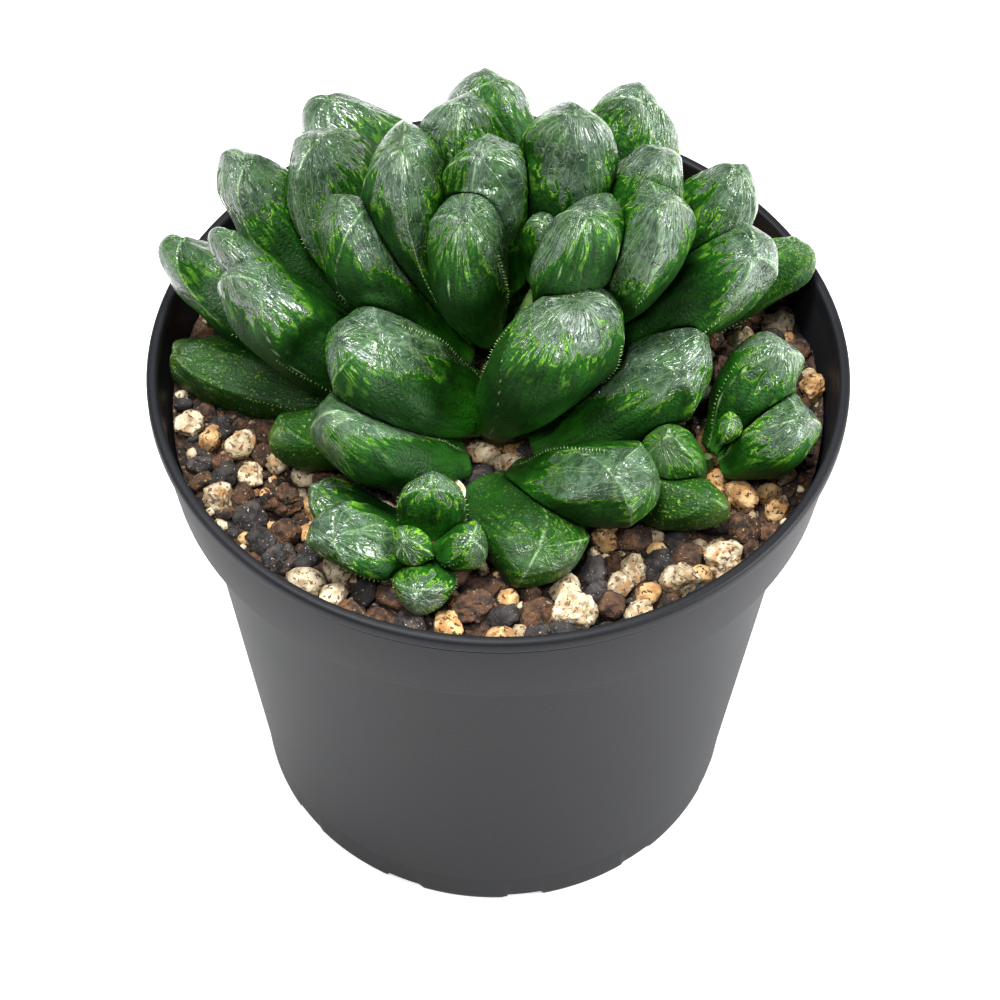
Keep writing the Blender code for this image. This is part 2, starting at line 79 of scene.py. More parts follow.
def gridFaces(rows, cols):
    # Quads between neighbouring rows of points, where each row closes on itself
    row = np.arange(rows - 1)[:, None]
    col = np.arange(cols)[None, :]
    here = row * cols + col
    beside = row * cols + (col + 1) % cols
    return np.stack([here, beside, beside + cols, here + cols], -1).reshape(-1, 4)


def fanFaces(ring, pole, outward):
    # Triangles from a closed ring of point numbers to one pole
    after = np.roll(ring, -1)
    middle = np.full(len(ring), pole)
    return np.stack([ring, after, middle] if outward else [after, ring, middle], -1)


def closedGrid(rows):
    # Closes a grid of points (rows, columns, 3) with a pole at each end, the mean of its last row
    count, cols = rows.shape[:2]
    first, last = count * cols, count * cols + 1
    points = np.concatenate([rows.reshape(-1, 3), [rows[0].mean(0), rows[-1].mean(0)]])
    quads = gridFaces(count, cols)
    ring = np.arange(cols)
    caps = [fanFaces(ring, first, False), fanFaces(ring + (count - 1) * cols, last, True)]
    return points, quads, np.concatenate(caps)


def addObject(name, data):
    # An object for a mesh, a lamp or a camera, at the origin, linked to the scene
    piece = bpy.data.objects.new(name, data)
    bpy.context.scene.collection.objects.link(piece)
    return piece


def makeMesh(name, points, quads, tris, materials, slotOfFace=None, attributes=None):
    # Points are in millimetres; quads and tris are rows of point numbers
    mesh = bpy.data.meshes.new(name)
    corners = np.concatenate([quads.ravel(), tris.ravel()]).astype(np.int32)
    sizes = np.concatenate([np.full(len(quads), 4), np.full(len(tris), 3)])
    mesh.vertices.add(len(points))
    mesh.vertices.foreach_set("co", (np.asarray(points, float) * mm).astype(np.float32).ravel())
    mesh.loops.add(len(corners))
    mesh.loops.foreach_set("vertex_index", corners)
    mesh.polygons.add(len(sizes))
    mesh.polygons.foreach_set("loop_start", (np.cumsum(sizes) - sizes).astype(np.int32))
    for material in materials:
        mesh.materials.append(material)
    if slotOfFace is not None:
        mesh.polygons.foreach_set("material_index", slotOfFace.astype(np.int32))
    mesh.update(calc_edges=True)
    mesh.validate()
    for label, values in (attributes or {}).items():
        layer = mesh.attributes.new(label, "FLOAT_VECTOR", "POINT")
        layer.data.foreach_set("vector", np.asarray(values, np.float32).ravel())
    mesh.shade_smooth()
    return addObject(name, mesh)


def finishPiece(piece, slotName, *nodes):
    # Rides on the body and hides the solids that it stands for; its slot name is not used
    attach(piece, "root")
    if nodes:
        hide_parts(*nodes)


# ---- materials ----

def linear(hexColour):
    # sRGB hex to linear light
    levels = [int(hexColour[i:i + 2], 16) / 255 for i in (1, 3, 5)]
    return [p / 12.92 if p <= 0.04045 else ((p + 0.055) / 1.055) ** 2.4 for p in levels] + [1.0]


def perSize(size):
    # Scale of a pattern on Object coordinates whose features are about size millimetres across
    return 1 / (size * mm)


def setInputs(node, sockets):
    # Links each named socket to another node's output, or sets the plain value that is given
    for name, value in sockets.items():
        if isinstance(value, bpy.types.NodeSocket):
            node.id_data.links.new(value, node.inputs[name])
        else:
            node.inputs[name].default_value = value


# Every form of node in use: its type, its settings, its inputs in the order in which values are
# given, and the output that is passed on (none: all of them)
onCells = ("Vector", "Scale", "Randomness")
toEdge = {"feature": "DISTANCE_TO_EDGE"}
nodeForms = {
    "objectPlace": ("TexCoord", {}, (), "Object"),
    "attribute": ("Attribute", {}, (), "Vector"),
    "split": ("SeparateXYZ", {}, (0,), None),
    "red": ("SeparateColor", {}, (0,), "Red"),
    "join": ("CombineXYZ", {}, (0, 1, 2), 0),
    "direction": ("VectorMath", {"operation": "NORMALIZE"}, (0,), 0),
    "scaled": ("VectorMath", {"operation": "SCALE"}, (0, "Scale"), 0),
    "moved": ("VectorMath", {"operation": "ADD"}, (0, 1), 0),
    "stretched": ("VectorMath", {"operation": "MULTIPLY"}, (0, 1), 0),
    "stretchedMoved": ("VectorMath", {"operation": "MULTIPLY_ADD"}, (0, 1, 2), 0),
    "noise": ("TexNoise", {}, ("Vector", "Scale", "Detail", "Distortion"), "Fac"),
    "colourNoise": ("TexNoise", {}, ("Vector", "Scale", "Detail"), "Color"),
    "cells": ("TexVoronoi", {"voronoi_dimensions": "2D"}, onCells, "Color"),
    "cellEdges": ("TexVoronoi", {"voronoi_dimensions": "2D", **toEdge}, onCells, "Distance"),
    "solidCellEdges": ("TexVoronoi", toEdge, onCells, "Distance"),
    "step": ("MapRange", {"interpolation_type": "SMOOTHSTEP"}, (0, 1, 2, 3, 4), 0),
    "mix": ("Mix", {"data_type": "RGBA"}, (0, 6, 7), 2),
    "tint": ("Mix", {"data_type": "RGBA", "blend_type": "MULTIPLY"}, (0, 6, 7), 2),
    "bump": ("Bump", {}, ("Height", "Distance", "Strength"), 0),
}
for operation in ("ADD", "SUBTRACT", "MULTIPLY", "DIVIDE", "MULTIPLY_ADD", "MINIMUM", "MAXIMUM", "ABSOLUTE"):
    nodeForms[operation] = ("Math", {"operation": operation}, (0, 1, 2), 0)


def addNode(tree, form, *values, **settings):
    # Adds one node of a form, with its settings, and its links in the form's order
    kind, fixed, inputs, output = nodeForms[form]
    node = tree.nodes.new("ShaderNode" + kind)
    for field, value in {**fixed, **settings}.items():
        setattr(node, field, value)
    setInputs(node, dict(zip(inputs, values)))
    return node.outputs if output is None else node.outputs[output]


def newMaterial(name, sockets):
    # A material, its shader with the sockets set, and addNode for its own tree
    material = bpy.data.materials.new(name)
    material.use_nodes = True
    shader = material.node_tree.nodes["Principled BSDF"]
    setInputs(shader, sockets)
    return material, shader, functools.partial(addNode, material.node_tree)


# Colours, then sizes of the patterns in millimetres, then how the window's edge runs, then the heights where
# painted shade near the soil begins and is full; low is the dark green of that painted shade
leafLook = {
    "deep": "#0a2f03", "grey": "#13360b", "vivid": "#1b5609", "seat": "#33701a", "low": "#06220a",
    "halo": "#1a5209", "flame": "#78b02a", "glassDark": "#253b29", "glassPale": "#4a604c",
    "glassGreen": "#2d5020", "vein": "#9dbf86",
    "oldGreen": "#163a0a", "oldDot": "#8fae3a", "oldTip": "#8d9138",
    "bendSize": 4.0, "netSize": 1.5, "sawSize": 0.7, "bloomSize": 7.0, "streakWidth": 0.9,
    "cloudSize": 2.0, "castSize": 5.0, "grainSize": 0.42, "foldWidth": 1.5, "spikeWidth": 1.5,
    "reliefDepth": 0.7,
    "streakStretch": 0.35, "foldStretch": 0.5, "spikeStretch": 0.45,
    "spikeTall": 3.2, "forward": 1.0, "fullCount": 2.4, "bend": 0.22, "fringe": 2.0,
    "fingerSpread": 2.6,
    "soilShadeFrom": 88.0, "soilShadeFull": 80.0,
}


def haworthiaSkin():
    # Succulent leaf skin: a thin waxy cuticle over water tissue. The green cells line the lower leaf
    # and the veins, and leave clear windows between them, so the windows look like wet grey-green
    # glass with bright sharp highlights, and the body is deep green and only satin.
    look = leafLook
    material, shader, add = newMaterial("haworthia_leaf_skin", {
        "IOR": 1.34, "Specular IOR Level": 0.32, "Coat Roughness": 0.06,
        "Subsurface Weight": 0.12, "Subsurface Radius": (0.6, 1.0, 0.35), "Subsurface Scale": 0.9 * mm})
    tint = {name: linear(value) for name, value in look.items() if isinstance(value, str)}
    vein, site, kind = (add("split", add("attribute", attribute_name=name))
                        for name in ("veinPlace", "leafPlace", "leafKind"))
    wrap = add("attribute", attribute_name="leafWrap")
    coords = add("objectPlace")
    depth, station, crest, tone = vein["Z"], site["X"], site["Y"], site["Z"]
    count, clear, age = kind["X"], kind["Y"], kind["Z"]

    def lengthwise(width, stretch, detail, distortion=0.0):
        # Noise about width millimetres across and longer along the leaf, on wrapped leaf millimetres
        return add("noise", add("stretched", wrap, (1.0, 1.0, stretch)), 1 / width, detail, distortion)

    # Veins run from the star at the tip: the direction from it, bent a little, is a place on a circle
    # that cells cut into uneven lengths
    away = add("direction", add("join", vein["X"], vein["Y"]))
    waves = add("colourNoise", coords, perSize(look["bendSize"]), 2.0)
    bent = add("stretchedMoved", waves, (look["bend"],) * 3, away)
    shift = add("MULTIPLY", tone, 37.0)
    circle = add("moved", add("scaled", bent, count), add("join", shift, shift))
    edge = add("cellEdges", circle, 1.0, 0.8)
    jitter = add("red", add("cells", circle, 1.0, 0.8))
    line = add("step", edge, 0.0, 0.055, 1.0, 0.0)
    net = add("solidCellEdges", coords, perSize(look["netSize"]), 1.0)
    netLine = add("step", net, 0.0, 0.10, 1.0, 0.0)

    # The window's edge steps in and out from cell to cell. Along it the green runs up into the
    # window in sharp spikes, which lie along the leaf, and each spike has a bright rim.
    stepped = add("MULTIPLY_ADD", jitter, look["fingerSpread"], -look["fingerSpread"] / 2)
    spiky = lengthwise(look["spikeWidth"], look["spikeStretch"], 2)
    fromSpike = add("ABSOLUTE", add("SUBTRACT", spiky, 0.5))
    spike = add("MINIMUM", add("DIVIDE", fromSpike, 0.13), 1.0)
    spike = add("MULTIPLY_ADD", spike, look["spikeTall"], -look["spikeTall"] * 0.7)
    lobe = add("step", edge, 0.0, 0.3, -look["fringe"], 0.0)
    saw = add("MULTIPLY_ADD", add("noise", coords, perSize(look["sawSize"]), 3), 1.3, -0.65)
    uneven = add("ADD", add("ADD", stepped, lobe), spike)
    uneven = add("MULTIPLY", uneven, add("DIVIDE", count, look["fullCount"]))
    inside = add("ADD", add("ADD", depth, saw), add("ADD", uneven, look["forward"]))
    window = add("MULTIPLY", add("step", inside, -0.15, 0.2), clear)
    rim = add("MULTIPLY", add("step", inside, -0.75, -0.1), add("step", inside, 0.45, 0.0))
    flecks = add("MULTIPLY", add("step", spiky, 0.53, 0.66), add("step", inside, -4.5, -0.6))
    glow = add("MAXIMUM", add("MULTIPLY", rim, 0.85), add("MULTIPLY", flecks, 0.3))
    lit = add("MULTIPLY", glow, add("MULTIPLY_ADD", clear, 0.6, 0.25))

    # The body is vivid at the seat and greyer where a faint bloom lies, with fine long streaks
    body = add("mix", add("step", station, 0.14, 0.46), tint["vivid"], tint["deep"])
    bloom = add("step", add("noise", coords, perSize(look["bloomSize"]), 3), 0.45, 0.7)
    body = add("mix", add("MULTIPLY", bloom, 0.3), body, tint["grey"])
    body = add("mix", add("step", station, 0.12, 0.02), body, tint["seat"])
    body = add("mix", add("step", inside, -6.0, -0.5, 0.0, 0.5), body, tint["halo"])
    streaks = add("MULTIPLY", lengthwise(look["streakWidth"], look["streakStretch"], 4), 2.0)
    body = add("tint", 1.0, body, add("join", streaks, streaks, streaks))

    # Painted shade near the soil: below a height the body is blended towards a dark green, more the lower it
    # lies
    height = add("split", coords)["Z"]
    dustAndShade = add("step", height, look["soilShadeFrom"] * mm, look["soilShadeFull"] * mm, 0.0, 0.65)
    body = add("mix", dustAndShade, body, tint["low"])
    body = add("mix", lit, body, tint["flame"])

    # The glass: cloudy grey-green, with dark green threads near the star and a pale net
    cloud = add("step", add("noise", coords, perSize(look["cloudSize"]), 4, 0.6), 0.32, 0.68)
    glass = add("mix", cloud, tint["glassDark"], tint["glassPale"])
    cast = add("step", add("noise", coords, perSize(look["castSize"]), 2), 0.42, 0.62)
    glass = add("mix", add("MULTIPLY", cast, 0.6), glass, tint["glassGreen"])
    threads = add("MAXIMUM", add("MULTIPLY", line, 0.2), add("MULTIPLY", netLine, 0.08))
    glass = add("mix", threads, glass, tint["vein"])
    skin = add("mix", window, body, glass)
    broken = add("step", spiky, 0.40, 0.60, 0.1, 0.5)
    ridgeLine = add("MULTIPLY", add("step", crest, 0.22, 0.05), broken)
    skin = add("mix", ridgeLine, skin, tint["vein"])

    # Old outer leaves are dull and evenly dark, with pale dots and a yellowing tip
    grain = add("noise", coords, perSize(look["grainSize"]), 2)
    dots = add("MULTIPLY", add("step", grain, 0.62, 0.68), 0.75)
    old = add("mix", dots, tint["oldGreen"], tint["oldDot"])
    old = add("mix", add("MULTIPLY", add("step", station, 0.92, 1.0), 0.12), old, tint["oldTip"])
    skin = add("mix", age, skin, old)

    # The window's skin shrinks into smooth long folds between thin creases, like crumpled foil; the
    # body has a fine leathery grain. Only a window is glazed, and less so on an old leaf.
    folds = lengthwise(look["foldWidth"], look["foldStretch"], 2, 0.8)
    fromCrease = add("ABSOLUTE", add("SUBTRACT", folds, 0.5))
    crease = add("MULTIPLY_ADD", add("step", fromCrease, 0.0, 0.04), 0.14, folds)
    crease = add("MULTIPLY", crease, add("MULTIPLY_ADD", window, 0.85, 0.10))
    leather = add("MULTIPLY", grain, add("MULTIPLY_ADD", window, -0.22, 0.30))
    surface = add("MULTIPLY_ADD", line, 0.06, add("ADD", crease, leather))
    relief = add("bump", surface, look["reliefDepth"] * mm, 1.0)
    glazed = add("MULTIPLY", window, add("step", age, 0.9, 0.0))
    setInputs(shader, {
        "Base Color": skin, "Roughness": add("MULTIPLY_ADD", window, -0.28, 0.52),
        "Coat Weight": add("MULTIPLY_ADD", glazed, 0.95, 0.04), "Normal": relief, "Coat Normal": relief})
    return material


def paleTooth():
    # The fine teeth on a leaf's margins: clear hard tissue with no green cells, so they look whitish
    return newMaterial("leaf_margin_tooth", {
        "Base Color": linear("#9cc06a"), "Roughness": 0.45, "IOR": 1.45})[0]


# ---- the plant ----

# Seat azimuth, seat distance from the stem's middle and height, then the leaf's azimuth, lift,
# length, width, thickness, roll and curl, in millimetres and degrees. They are the solids' own
# values, but for leaf_13, the broad one in front: it is turned and rolled about 2 mm from its solid.
leafColumns = ("seatAzimuth", "seatOut", "height", "azimuth", "lift", "length", "width", "thickness",
               "roll", "curl")
rosette = (
    (-20, 0.5, 98, 155, 77, 12, 6, 5, 0, 5), (155, 4, 95, 155, 70, 29, 14, 10, 0, 10),
    (-128, 4, 95, -136, 73, 26, 14, 9, 0, 10), (71, 4, 94, 54, 76, 25, 16, 10, 0, 10),
    (-71, 5, 93, -100, 75, 24, 17, 10, -4, 8), (-145, 6, 91, -153, 55, 32, 14, 10, 0, 20),
    (90, 6, 92, 92, 54, 29, 14, 11, 0, 20), (-117, 7, 89, -115, 56, 36, 16, 10, 0, 30),
    (126, 6, 89, 116, 49, 33, 13, 10, 0, 25), (-174, 7, 88, -164, 44, 36, 16, 10, 0, 25),
    (-124, 8, 85, -124, 24, 40, 18, 11, 0, 45), (-100, 7, 86, -100, 45, 34, 14, 11, 0, 25),
    (-9, 4.5, 83, 72, 64, 28, 22.5, 12, -29, 14), (148, 9, 87, 149, 37, 36, 17, 10, 0, 25),
    (99, 7, 85, 99, 28, 37, 12, 11, 0, 25), (26, 9, 81, 105, 25, 30, 14, 11, 0, 20),
    (-42, 4, 83, -75, 37, 31, 17, 11, -20, 16), (-88, 8, 82, -88, 23, 41, 12, 12, 0, 40),
    (-115, 8, 84, -115, 14, 46, 13, 11, 0, 45), (-176, 12, 90, -122, 17, 39, 18, 10, -8, 12),
    (-166, 9, 83, -166, 13, 37, 9, 7, 0, 20), (117, 9, 84, 117, 29, 39, 13, 10, 0, 35),
    (135, 12, 81, 121, 4, 40, 10, 10, 45, 28), (-106, 8, 82, -106, 0, 47, 12, 10, 0, 40),
    (-98, 8, 83, -97, 21, 43, 7, 8, 0, 35), (-100, 8, 81, -98, -4, 41, 14, 10, 0, 12),
    (-70, 9, 80, -70, 13, 27, 10, 8, 0, 10), (-38, 10, 80, -66, 34, 26, 16, 10, -5, 12),
    (6, 11.5, 80, 57, 28, 27, 13, 10, 0, 10), (-12, 13, 80, 31, 6, 22, 14, 9, 0, 10),
    (40, 13, 80, 61, 9, 26, 9, 8, 0, 10), (176, 9, 81, 178, 8, 38, 12, 10, 0, 25),
    (157, 9, 81, 158, 4, 37, 12, 10, 0, 25),
)
rightOffset = (
    (137, 2, 82, 137, 45, 19, 11, 9, 0, 15), (96, 2, 82, 96, 32, 15, 12, 9, 0, 15),
    (-60, 2, 82, -60, 51, 10, 10, 8, 0, 10), (83, 1, 87, 83, 63, 5, 4, 3, 0, 0),
)
leftOffset = (
    (-118, 2, 81, -118, 5, 17, 8, 6, 0, 10), (-85, 1, 81, -85, 24, 17, 10, 7, 0, 10),
    (178, 1, 83, 178, 56, 9, 9, 6, 0, 5), (67, 1, 83, 67, 31, 8, 7, 6, 0, 10),
    (-7, 1, 81, -7, 16, 10, 8, 6, 0, 10), (-44, 1, 84, -44, 40, 5, 6, 5, 0, 5),
)
# How every leaf is formed: its outline and section as shares, powers and angles, its grid, then its
# crests, swellings, wrinkles and teeth in millimetres, and how finely its room is searched
leafShape = {
    "seatWidth": 0.5, "fullAt": 0.6, "noseFrom": 0.58, "nosePower": 2.3, "upperShare": 0.42,
    "sectionPower": 2.3, "heel": 0.5, "gap": 0.05, "clearance": 0.3, "thinnest": 0.1,
    "rows": 84, "cols": 68, "smallRows": 52, "smallCols": 44, "smallWidth": 11, "smallLength": 22,
    "edgeSharp": 0.75, "flatSeat": 0.35,
    "crests": (1.15, 0.9, 1.15, 1.15), "crestSoft": 0.15, "crestWidth": 1.7, "crestSink": 0.45,
    "swell": 0.28, "swellSize": 9.0, "wrinkleHeight": 0.05, "wrinkleSize": 1.9, "wanderSize": 3.0,
    "reliefFullWidth": 12, "veinsFullWidth": 13, "fewestVeins": 7, "underTop": 0.02,
    "toothSpacing": 0.62, "toothHeight": 0.40, "toothWidth": 0.10, "toothFrom": 0.06, "toothTo": 0.66,
    "toothFullWidth": 10, "toothSink": 0.12, "toothLean": 0.45,
    "probes": 10, "raySteps": 13, "halvings": 4,
}
# Where the windows begin, as shares of the leaf's length from its seat, at every eighth of a turn round
# the leaf. The star is where the veins meet, as a share of the length and an angle round the leaf; swing
# turns both margins round it. Clear is 1 for a full window, age dulls a leaf, and a leaf further to the
# front keeps more of the room that it shares.
leafHabit = {"windows": (0.84,) * 8, "star": (0.96, 100), "swing": 0, "front": 0.0, "clear": 1.0,
             "age": 0.0, "veins": 15}
leafExceptions = {
    "leaf_02": {"windows": (0.84, 0.84, 0.60, 0.50, 0.76, 0.84, 0.84, 0.84),
                "star": (0.99, 130), "swing": 28},
    "leaf_03": {"windows": (0.94, 0.59, 0.36, 0.80, 0.84, 0.84, 0.84, 0.83),
                "star": (0.97, 33), "swing": 40},
    "leaf_04": {"windows": (0.84, 0.84, 0.84, 0.44, 0.79, 0.90, 0.92, 0.81),
                "star": (0.99, 240), "swing": -80},
    "leaf_05": {"windows": (0.88, 0.82, 0.32, 0.19, 0.84, 0.84, 0.80, 0.93),
                "star": (0.98, 22), "swing": 80},
    "leaf_06": {"windows": (0.84, 0.80, 0.85, 0.89, 0.86, 0.84, 0.84, 0.84),
                "star": (0.99, 101), "swing": 60},
    "leaf_07": {"windows": (0.84, 0.84, 0.84, 0.54, 0.61, 0.85, 0.84, 0.84),
                "star": (0.98, 130), "swing": 10},
    "leaf_08": {"windows": (0.81, 0.56, 0.75, 0.84, 0.84, 0.84, 0.84, 0.95),
                "star": (0.98, 51), "swing": 36},
    "leaf_09": {"windows": (0.85, 0.77, 0.86, 0.87, 0.82, 0.84, 0.84, 0.84),
                "star": (0.99, 174), "swing": 20},
    "leaf_10": {"windows": (0.84, 0.84, 0.98, 0.86, 0.79, 0.84, 0.84, 0.84),
                "star": (0.97, 130), "swing": 20},
    "leaf_11": {"windows": (0.63, 0.77, 0.84, 0.83, 0.84, 0.84, 0.84, 0.98),
                "star": (0.98, 64), "swing": -5},
    "leaf_12": {"windows": (0.98, 0.78, 0.46, 0.24, 0.14, 0.84, 0.84, 0.84),
                "star": (0.94, 80), "swing": -30, "front": 0.1},
    "leaf_13": {"windows": (0.80, 0.74, 0.74, 0.84, 0.86, 0.88, 0.80, 0.78),
                "star": (0.86, 110), "swing": -60, "front": 0.35},
    "leaf_14": {"windows": (0.84, 0.84, 0.86, 0.83, 0.80, 0.84, 0.84, 0.84),
                "star": (0.97, 120), "swing": 30},
    "leaf_15": {"windows": (0.84, 0.84, 0.84, 0.84, 0.66, 0.82, 0.98, 0.84), "star": (0.94, 146)},
    "leaf_16": {"windows": (0.84, 0.24, 0.40, 0.63, 0.85, 0.84, 0.84, 0.84),
                "star": (0.84, 139), "swing": 60},
    "leaf_17": {"windows": (0.97, 0.98, 0.50, 0.05, 0.84, 0.91, 0.98, 0.84),
                "star": (0.85, 96), "swing": -65, "front": 0.15},
    "leaf_18": {"windows": (0.84, 0.81, 0.77, 0.84, 0.84, 0.84, 0.84, 0.98),
                "star": (0.93, 64), "swing": -15},
    "leaf_19": {"windows": (0.82, 0.81, 0.79, 0.84, 0.84, 0.84, 0.84, 0.95), "star": (0.96, 88)},
    "leaf_20": {"windows": (0.84, 0.84, 0.83, 0.76, 0.64, 0.84, 0.84, 0.84),
                "star": (0.96, 134), "swing": -60},
    "leaf_22": {"windows": (0.84, 0.84, 0.88, 0.80, 0.76, 0.89, 0.84, 0.84),
                "star": (0.99, 102), "swing": 20},
    "leaf_23": {"windows": (0.83, 0.87, 0.97, 0.87, 0.84, 0.84, 0.84, 0.84),
                "star": (0.94, 23), "clear": 0.5, "age": 0.3},
    "leaf_24": {"windows": (0.78, 0.93, 0.84, 0.84, 0.84, 0.84, 0.84, 0.84),
                "star": (0.96, 117), "swing": 5, "clear": 0.75},
    "leaf_26": {"star": (0.98, 80), "swing": 28, "clear": 0.35, "age": 0.5},
    "leaf_27": {"star": (0.94, 94), "swing": 20, "clear": 0.2, "age": 0.7},
    "leaf_28": {"windows": (0.98, 0.93, 0.30, 0.60, 0.84, 0.84, 0.84, 0.90),
                "star": (0.86, 88), "swing": -95, "clear": 0.85},
    "leaf_29": {"windows": (0.84, 0.80, 0.42, 0.30, 0.90, 0.98, 0.84, 0.84),
                "star": (0.85, 116), "swing": 80, "clear": 0.9},
    "leaf_30": {"windows": (0.84, 0.84, 0.84, 0.55, 0.98, 0.98, 0.84, 0.84),
                "star": (0.86, 107), "swing": 60, "clear": 0.6, "age": 0.3},
    "leaf_31": {"star": (0.91, 99), "swing": -80, "clear": 0.3, "age": 0.75},
    "right_offset_leaf_1": {"windows": (0.89, 0.85, 0.74, 0.77, 0.85, 0.84, 0.84, 0.84),
                            "star": (0.95, 150), "swing": 70},
    "right_offset_leaf_2": {"windows": (0.84, 0.84, 0.58, 0.44, 0.87, 0.95, 0.84, 0.84),
                            "star": (0.93, 128), "swing": 100},
    "right_offset_leaf_3": {"clear": 0.6, "age": 0.2},
    "left_offset_leaf_1": {"star": (0.96, 90)},
    "left_offset_leaf_2": {"windows": (0.77, 0.42, 0.22, 0.84, 0.84, 0.84, 0.84, 0.96),
                           "star": (0.87, 45), "swing": -20},
    "left_offset_leaf_3": {"star": (0.88, 90)},
    "left_offset_leaf_4": {"star": (0.94, 109)},
    "left_offset_leaf_5": {"star": (0.96, 98)},
}
plantSeed = 4
# The rosette's middle and lean, and the soil, in millimetres
crown = {"middle": (1.0, -4.0), "base": 80.0, "lean": (0.24, 0.5)}
soilShape = {"top": 77.5, "dish": 1.5, "dishRadius": 30.0, "crumbled": 0.9,
             "cols": 220, "rows": 96, "clearance": 0.35}


def boxMiddle(node):
    # Middle of a solid's box, in millimetres
    low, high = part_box(node)
    return np.array((low + high) / 2) / mm


def crownAxis(height):
    # The rosette's stem leans: its middle moves by lean for each millimetre above the base
    rise = np.maximum(np.asarray(height, float) - crown["base"], 0)
    return np.stack([crown["middle"][i] + crown["lean"][i] * rise for i in (0, 1)], -1)


def uprightAxis(node):
    # An offset stands upright over the middle of its stem
    place = boxMiddle(node)[:2]
    return lambda height: np.zeros(np.shape(height) + (2,)) + place


def heading(azimuth):
    # Level direction at an azimuth that turns from the front towards the right
    angle = math.radians(azimuth)
    return np.array([math.sin(angle), -math.cos(angle), 0])


def readLeaf(name, row, axis):
    # A row as a dictionary, with the seat's place and the three axes: along, across and up
    leaf = dict(zip(leafColumns, row), name=name)
    x, y = axis(leaf["height"])
    leaf["seat"] = np.array([x, y, leaf["height"]]) + leaf["seatOut"] * heading(leaf["seatAzimuth"])
    out = heading(leaf["azimuth"])
    side = np.array([-out[1], out[0], 0])
    lift, roll = math.radians(leaf["lift"]), math.radians(leaf["roll"])
    along = out * math.cos(lift) + np.array([0, 0, math.sin(lift)])
    up = np.array([0, 0, math.cos(lift)]) - out * math.sin(lift)
    across = side * math.cos(roll) + up * math.sin(roll)
    leaf["turn"] = np.array([along, across, up * math.cos(roll) - side * math.sin(roll)])
    leaf["bend"] = math.radians(max(leaf["curl"], 0.01)) / leaf["length"]
    leaf.update(leafHabit)
    leaf.update(leafExceptions.get(name, {}))
    return leaf


def halfSizes(leaf, distance):
    # Swells by a quarter sine from the seat, then rounds off to the nose as the root of 1 - x^p
    share = np.clip(distance / leaf["length"], 0, 1)
    swell = np.sin(np.clip(share / leafShape["fullAt"], 0, 1) * math.pi / 2)
    nose = np.clip((share - leafShape["noseFrom"]) / (1 - leafShape["noseFrom"]), 0, 1)
    size = leafShape["seatWidth"] + (1 - leafShape["seatWidth"]) * swell
    size = np.maximum(size * np.sqrt(1 - nose ** leafShape["nosePower"]), 0.001)
    upper = leaf["thickness"] * leafShape["upperShare"] * size
    return leaf["width"] / 2 * size, upper, leaf["thickness"] * size - upper


def toWorld(leaf, local):
    # Bends local points along an arc of constant curl and sets them on the seat
    bend = leaf["bend"]
    rest = 1 / bend - local[..., 2]
    bent = np.stack([rest * np.sin(bend * local[..., 0]), local[..., 1],
                     1 / bend - rest * np.cos(bend * local[..., 0])], -1)
    return leaf["seat"] + bent @ leaf["turn"]


def skinLevel(leaf, world):
    # 0 on a leaf's midline, 1 on its skin before pressing and more outside: the superellipse sum of
    # the offsets across and up, each as a share of the half size there
    bent = (world - leaf["seat"]) @ leaf["turn"].T
    bend = leaf["bend"]
    rest = 1 / bend - bent[..., 2]
    distance = np.arctan2(bent[..., 0], rest) / bend
    above = 1 / bend - np.hypot(bent[..., 0], rest)
    width, upper, lower = halfSizes(leaf, distance)
    power = leafShape["sectionPower"]
    across, rise = bent[..., 1] / width, above / np.where(above > 0, upper, lower)
    level = (np.abs(across) ** power + np.abs(rise) ** power) ** (1 / power)
    behind = 1 - distance / (leafShape["heel"] * leaf["thickness"])
    return np.where(distance < 0, np.maximum(level, behind), level)


def soilLevel(radius):
    # The soil's top: a cosine dish, deepest in the middle and flat from the dish's radius outwards
    share = np.clip(np.asarray(radius) / soilShape["dishRadius"], 0, 1)
    return soilShape["top"] - soilShape["dish"] * (1 + np.cos(math.pi * share)) / 2


def holderRoom(world):
    # How far points are above the soil, and inside the pot's wall or above its rim
    radius = np.hypot(world[..., 0], world[..., 1])
    height, clearance = world[..., 2], leafShape["clearance"]
    wall = np.maximum(potInside(height) - radius, height - potShape["height"])
    return np.minimum(height - soilLevel(radius), wall) - clearance


def spareDepth(leaf, near, points):
    # How much deeper points lie in this leaf than in any neighbour
    own = skinLevel(leaf, points)
    spare = np.where(own < 1 + 1e-6, 1.0, -1.0)
    spare = np.minimum(spare, holderRoom(points) * 0.3)
    for other in near:
        ahead = (leaf["front"] - other["front"]) / 2
        spare = np.minimum(spare, skinLevel(other, points) - own - leafShape["gap"] + ahead)
    return spare


def leafSkin(leaf, rows, cols):
    # Section: a superellipse whose margins sharpen towards the seat, where its upper face is flatter
    share = 1 - (1 - np.linspace(0, 1, rows + 1)[:-1]) ** 1.55
    angle = np.arange(cols) * 2 * math.pi / cols
    width, upper, lower = (part[:, None] for part in halfSizes(leaf, share * leaf["length"]))
    power = 2 / leafShape["sectionPower"]
    straight = math.cos(math.radians(leaf["swing"])) ** 2
    sharp = straight * leafShape["edgeSharp"] * (1 - smoothStep(0.35, 0.85, share))[:, None]
    flat = leafShape["flatSeat"] * (1 - smoothStep(0.1, 0.55, share))[:, None]
    sine, cosine = np.sin(angle)[None, :], np.cos(angle)[None, :]
    rise = np.abs(sine) ** (power * (1 + sharp))
    up = np.where(sine > 0, upper * (1 - flat), -lower) * rise
    out = width * np.sign(cosine) * np.abs(cosine) ** power
    distance = share[:, None] * leaf["length"] + 0 * up
    return share, angle, np.stack([distance, out + 0 * up, up], -1)


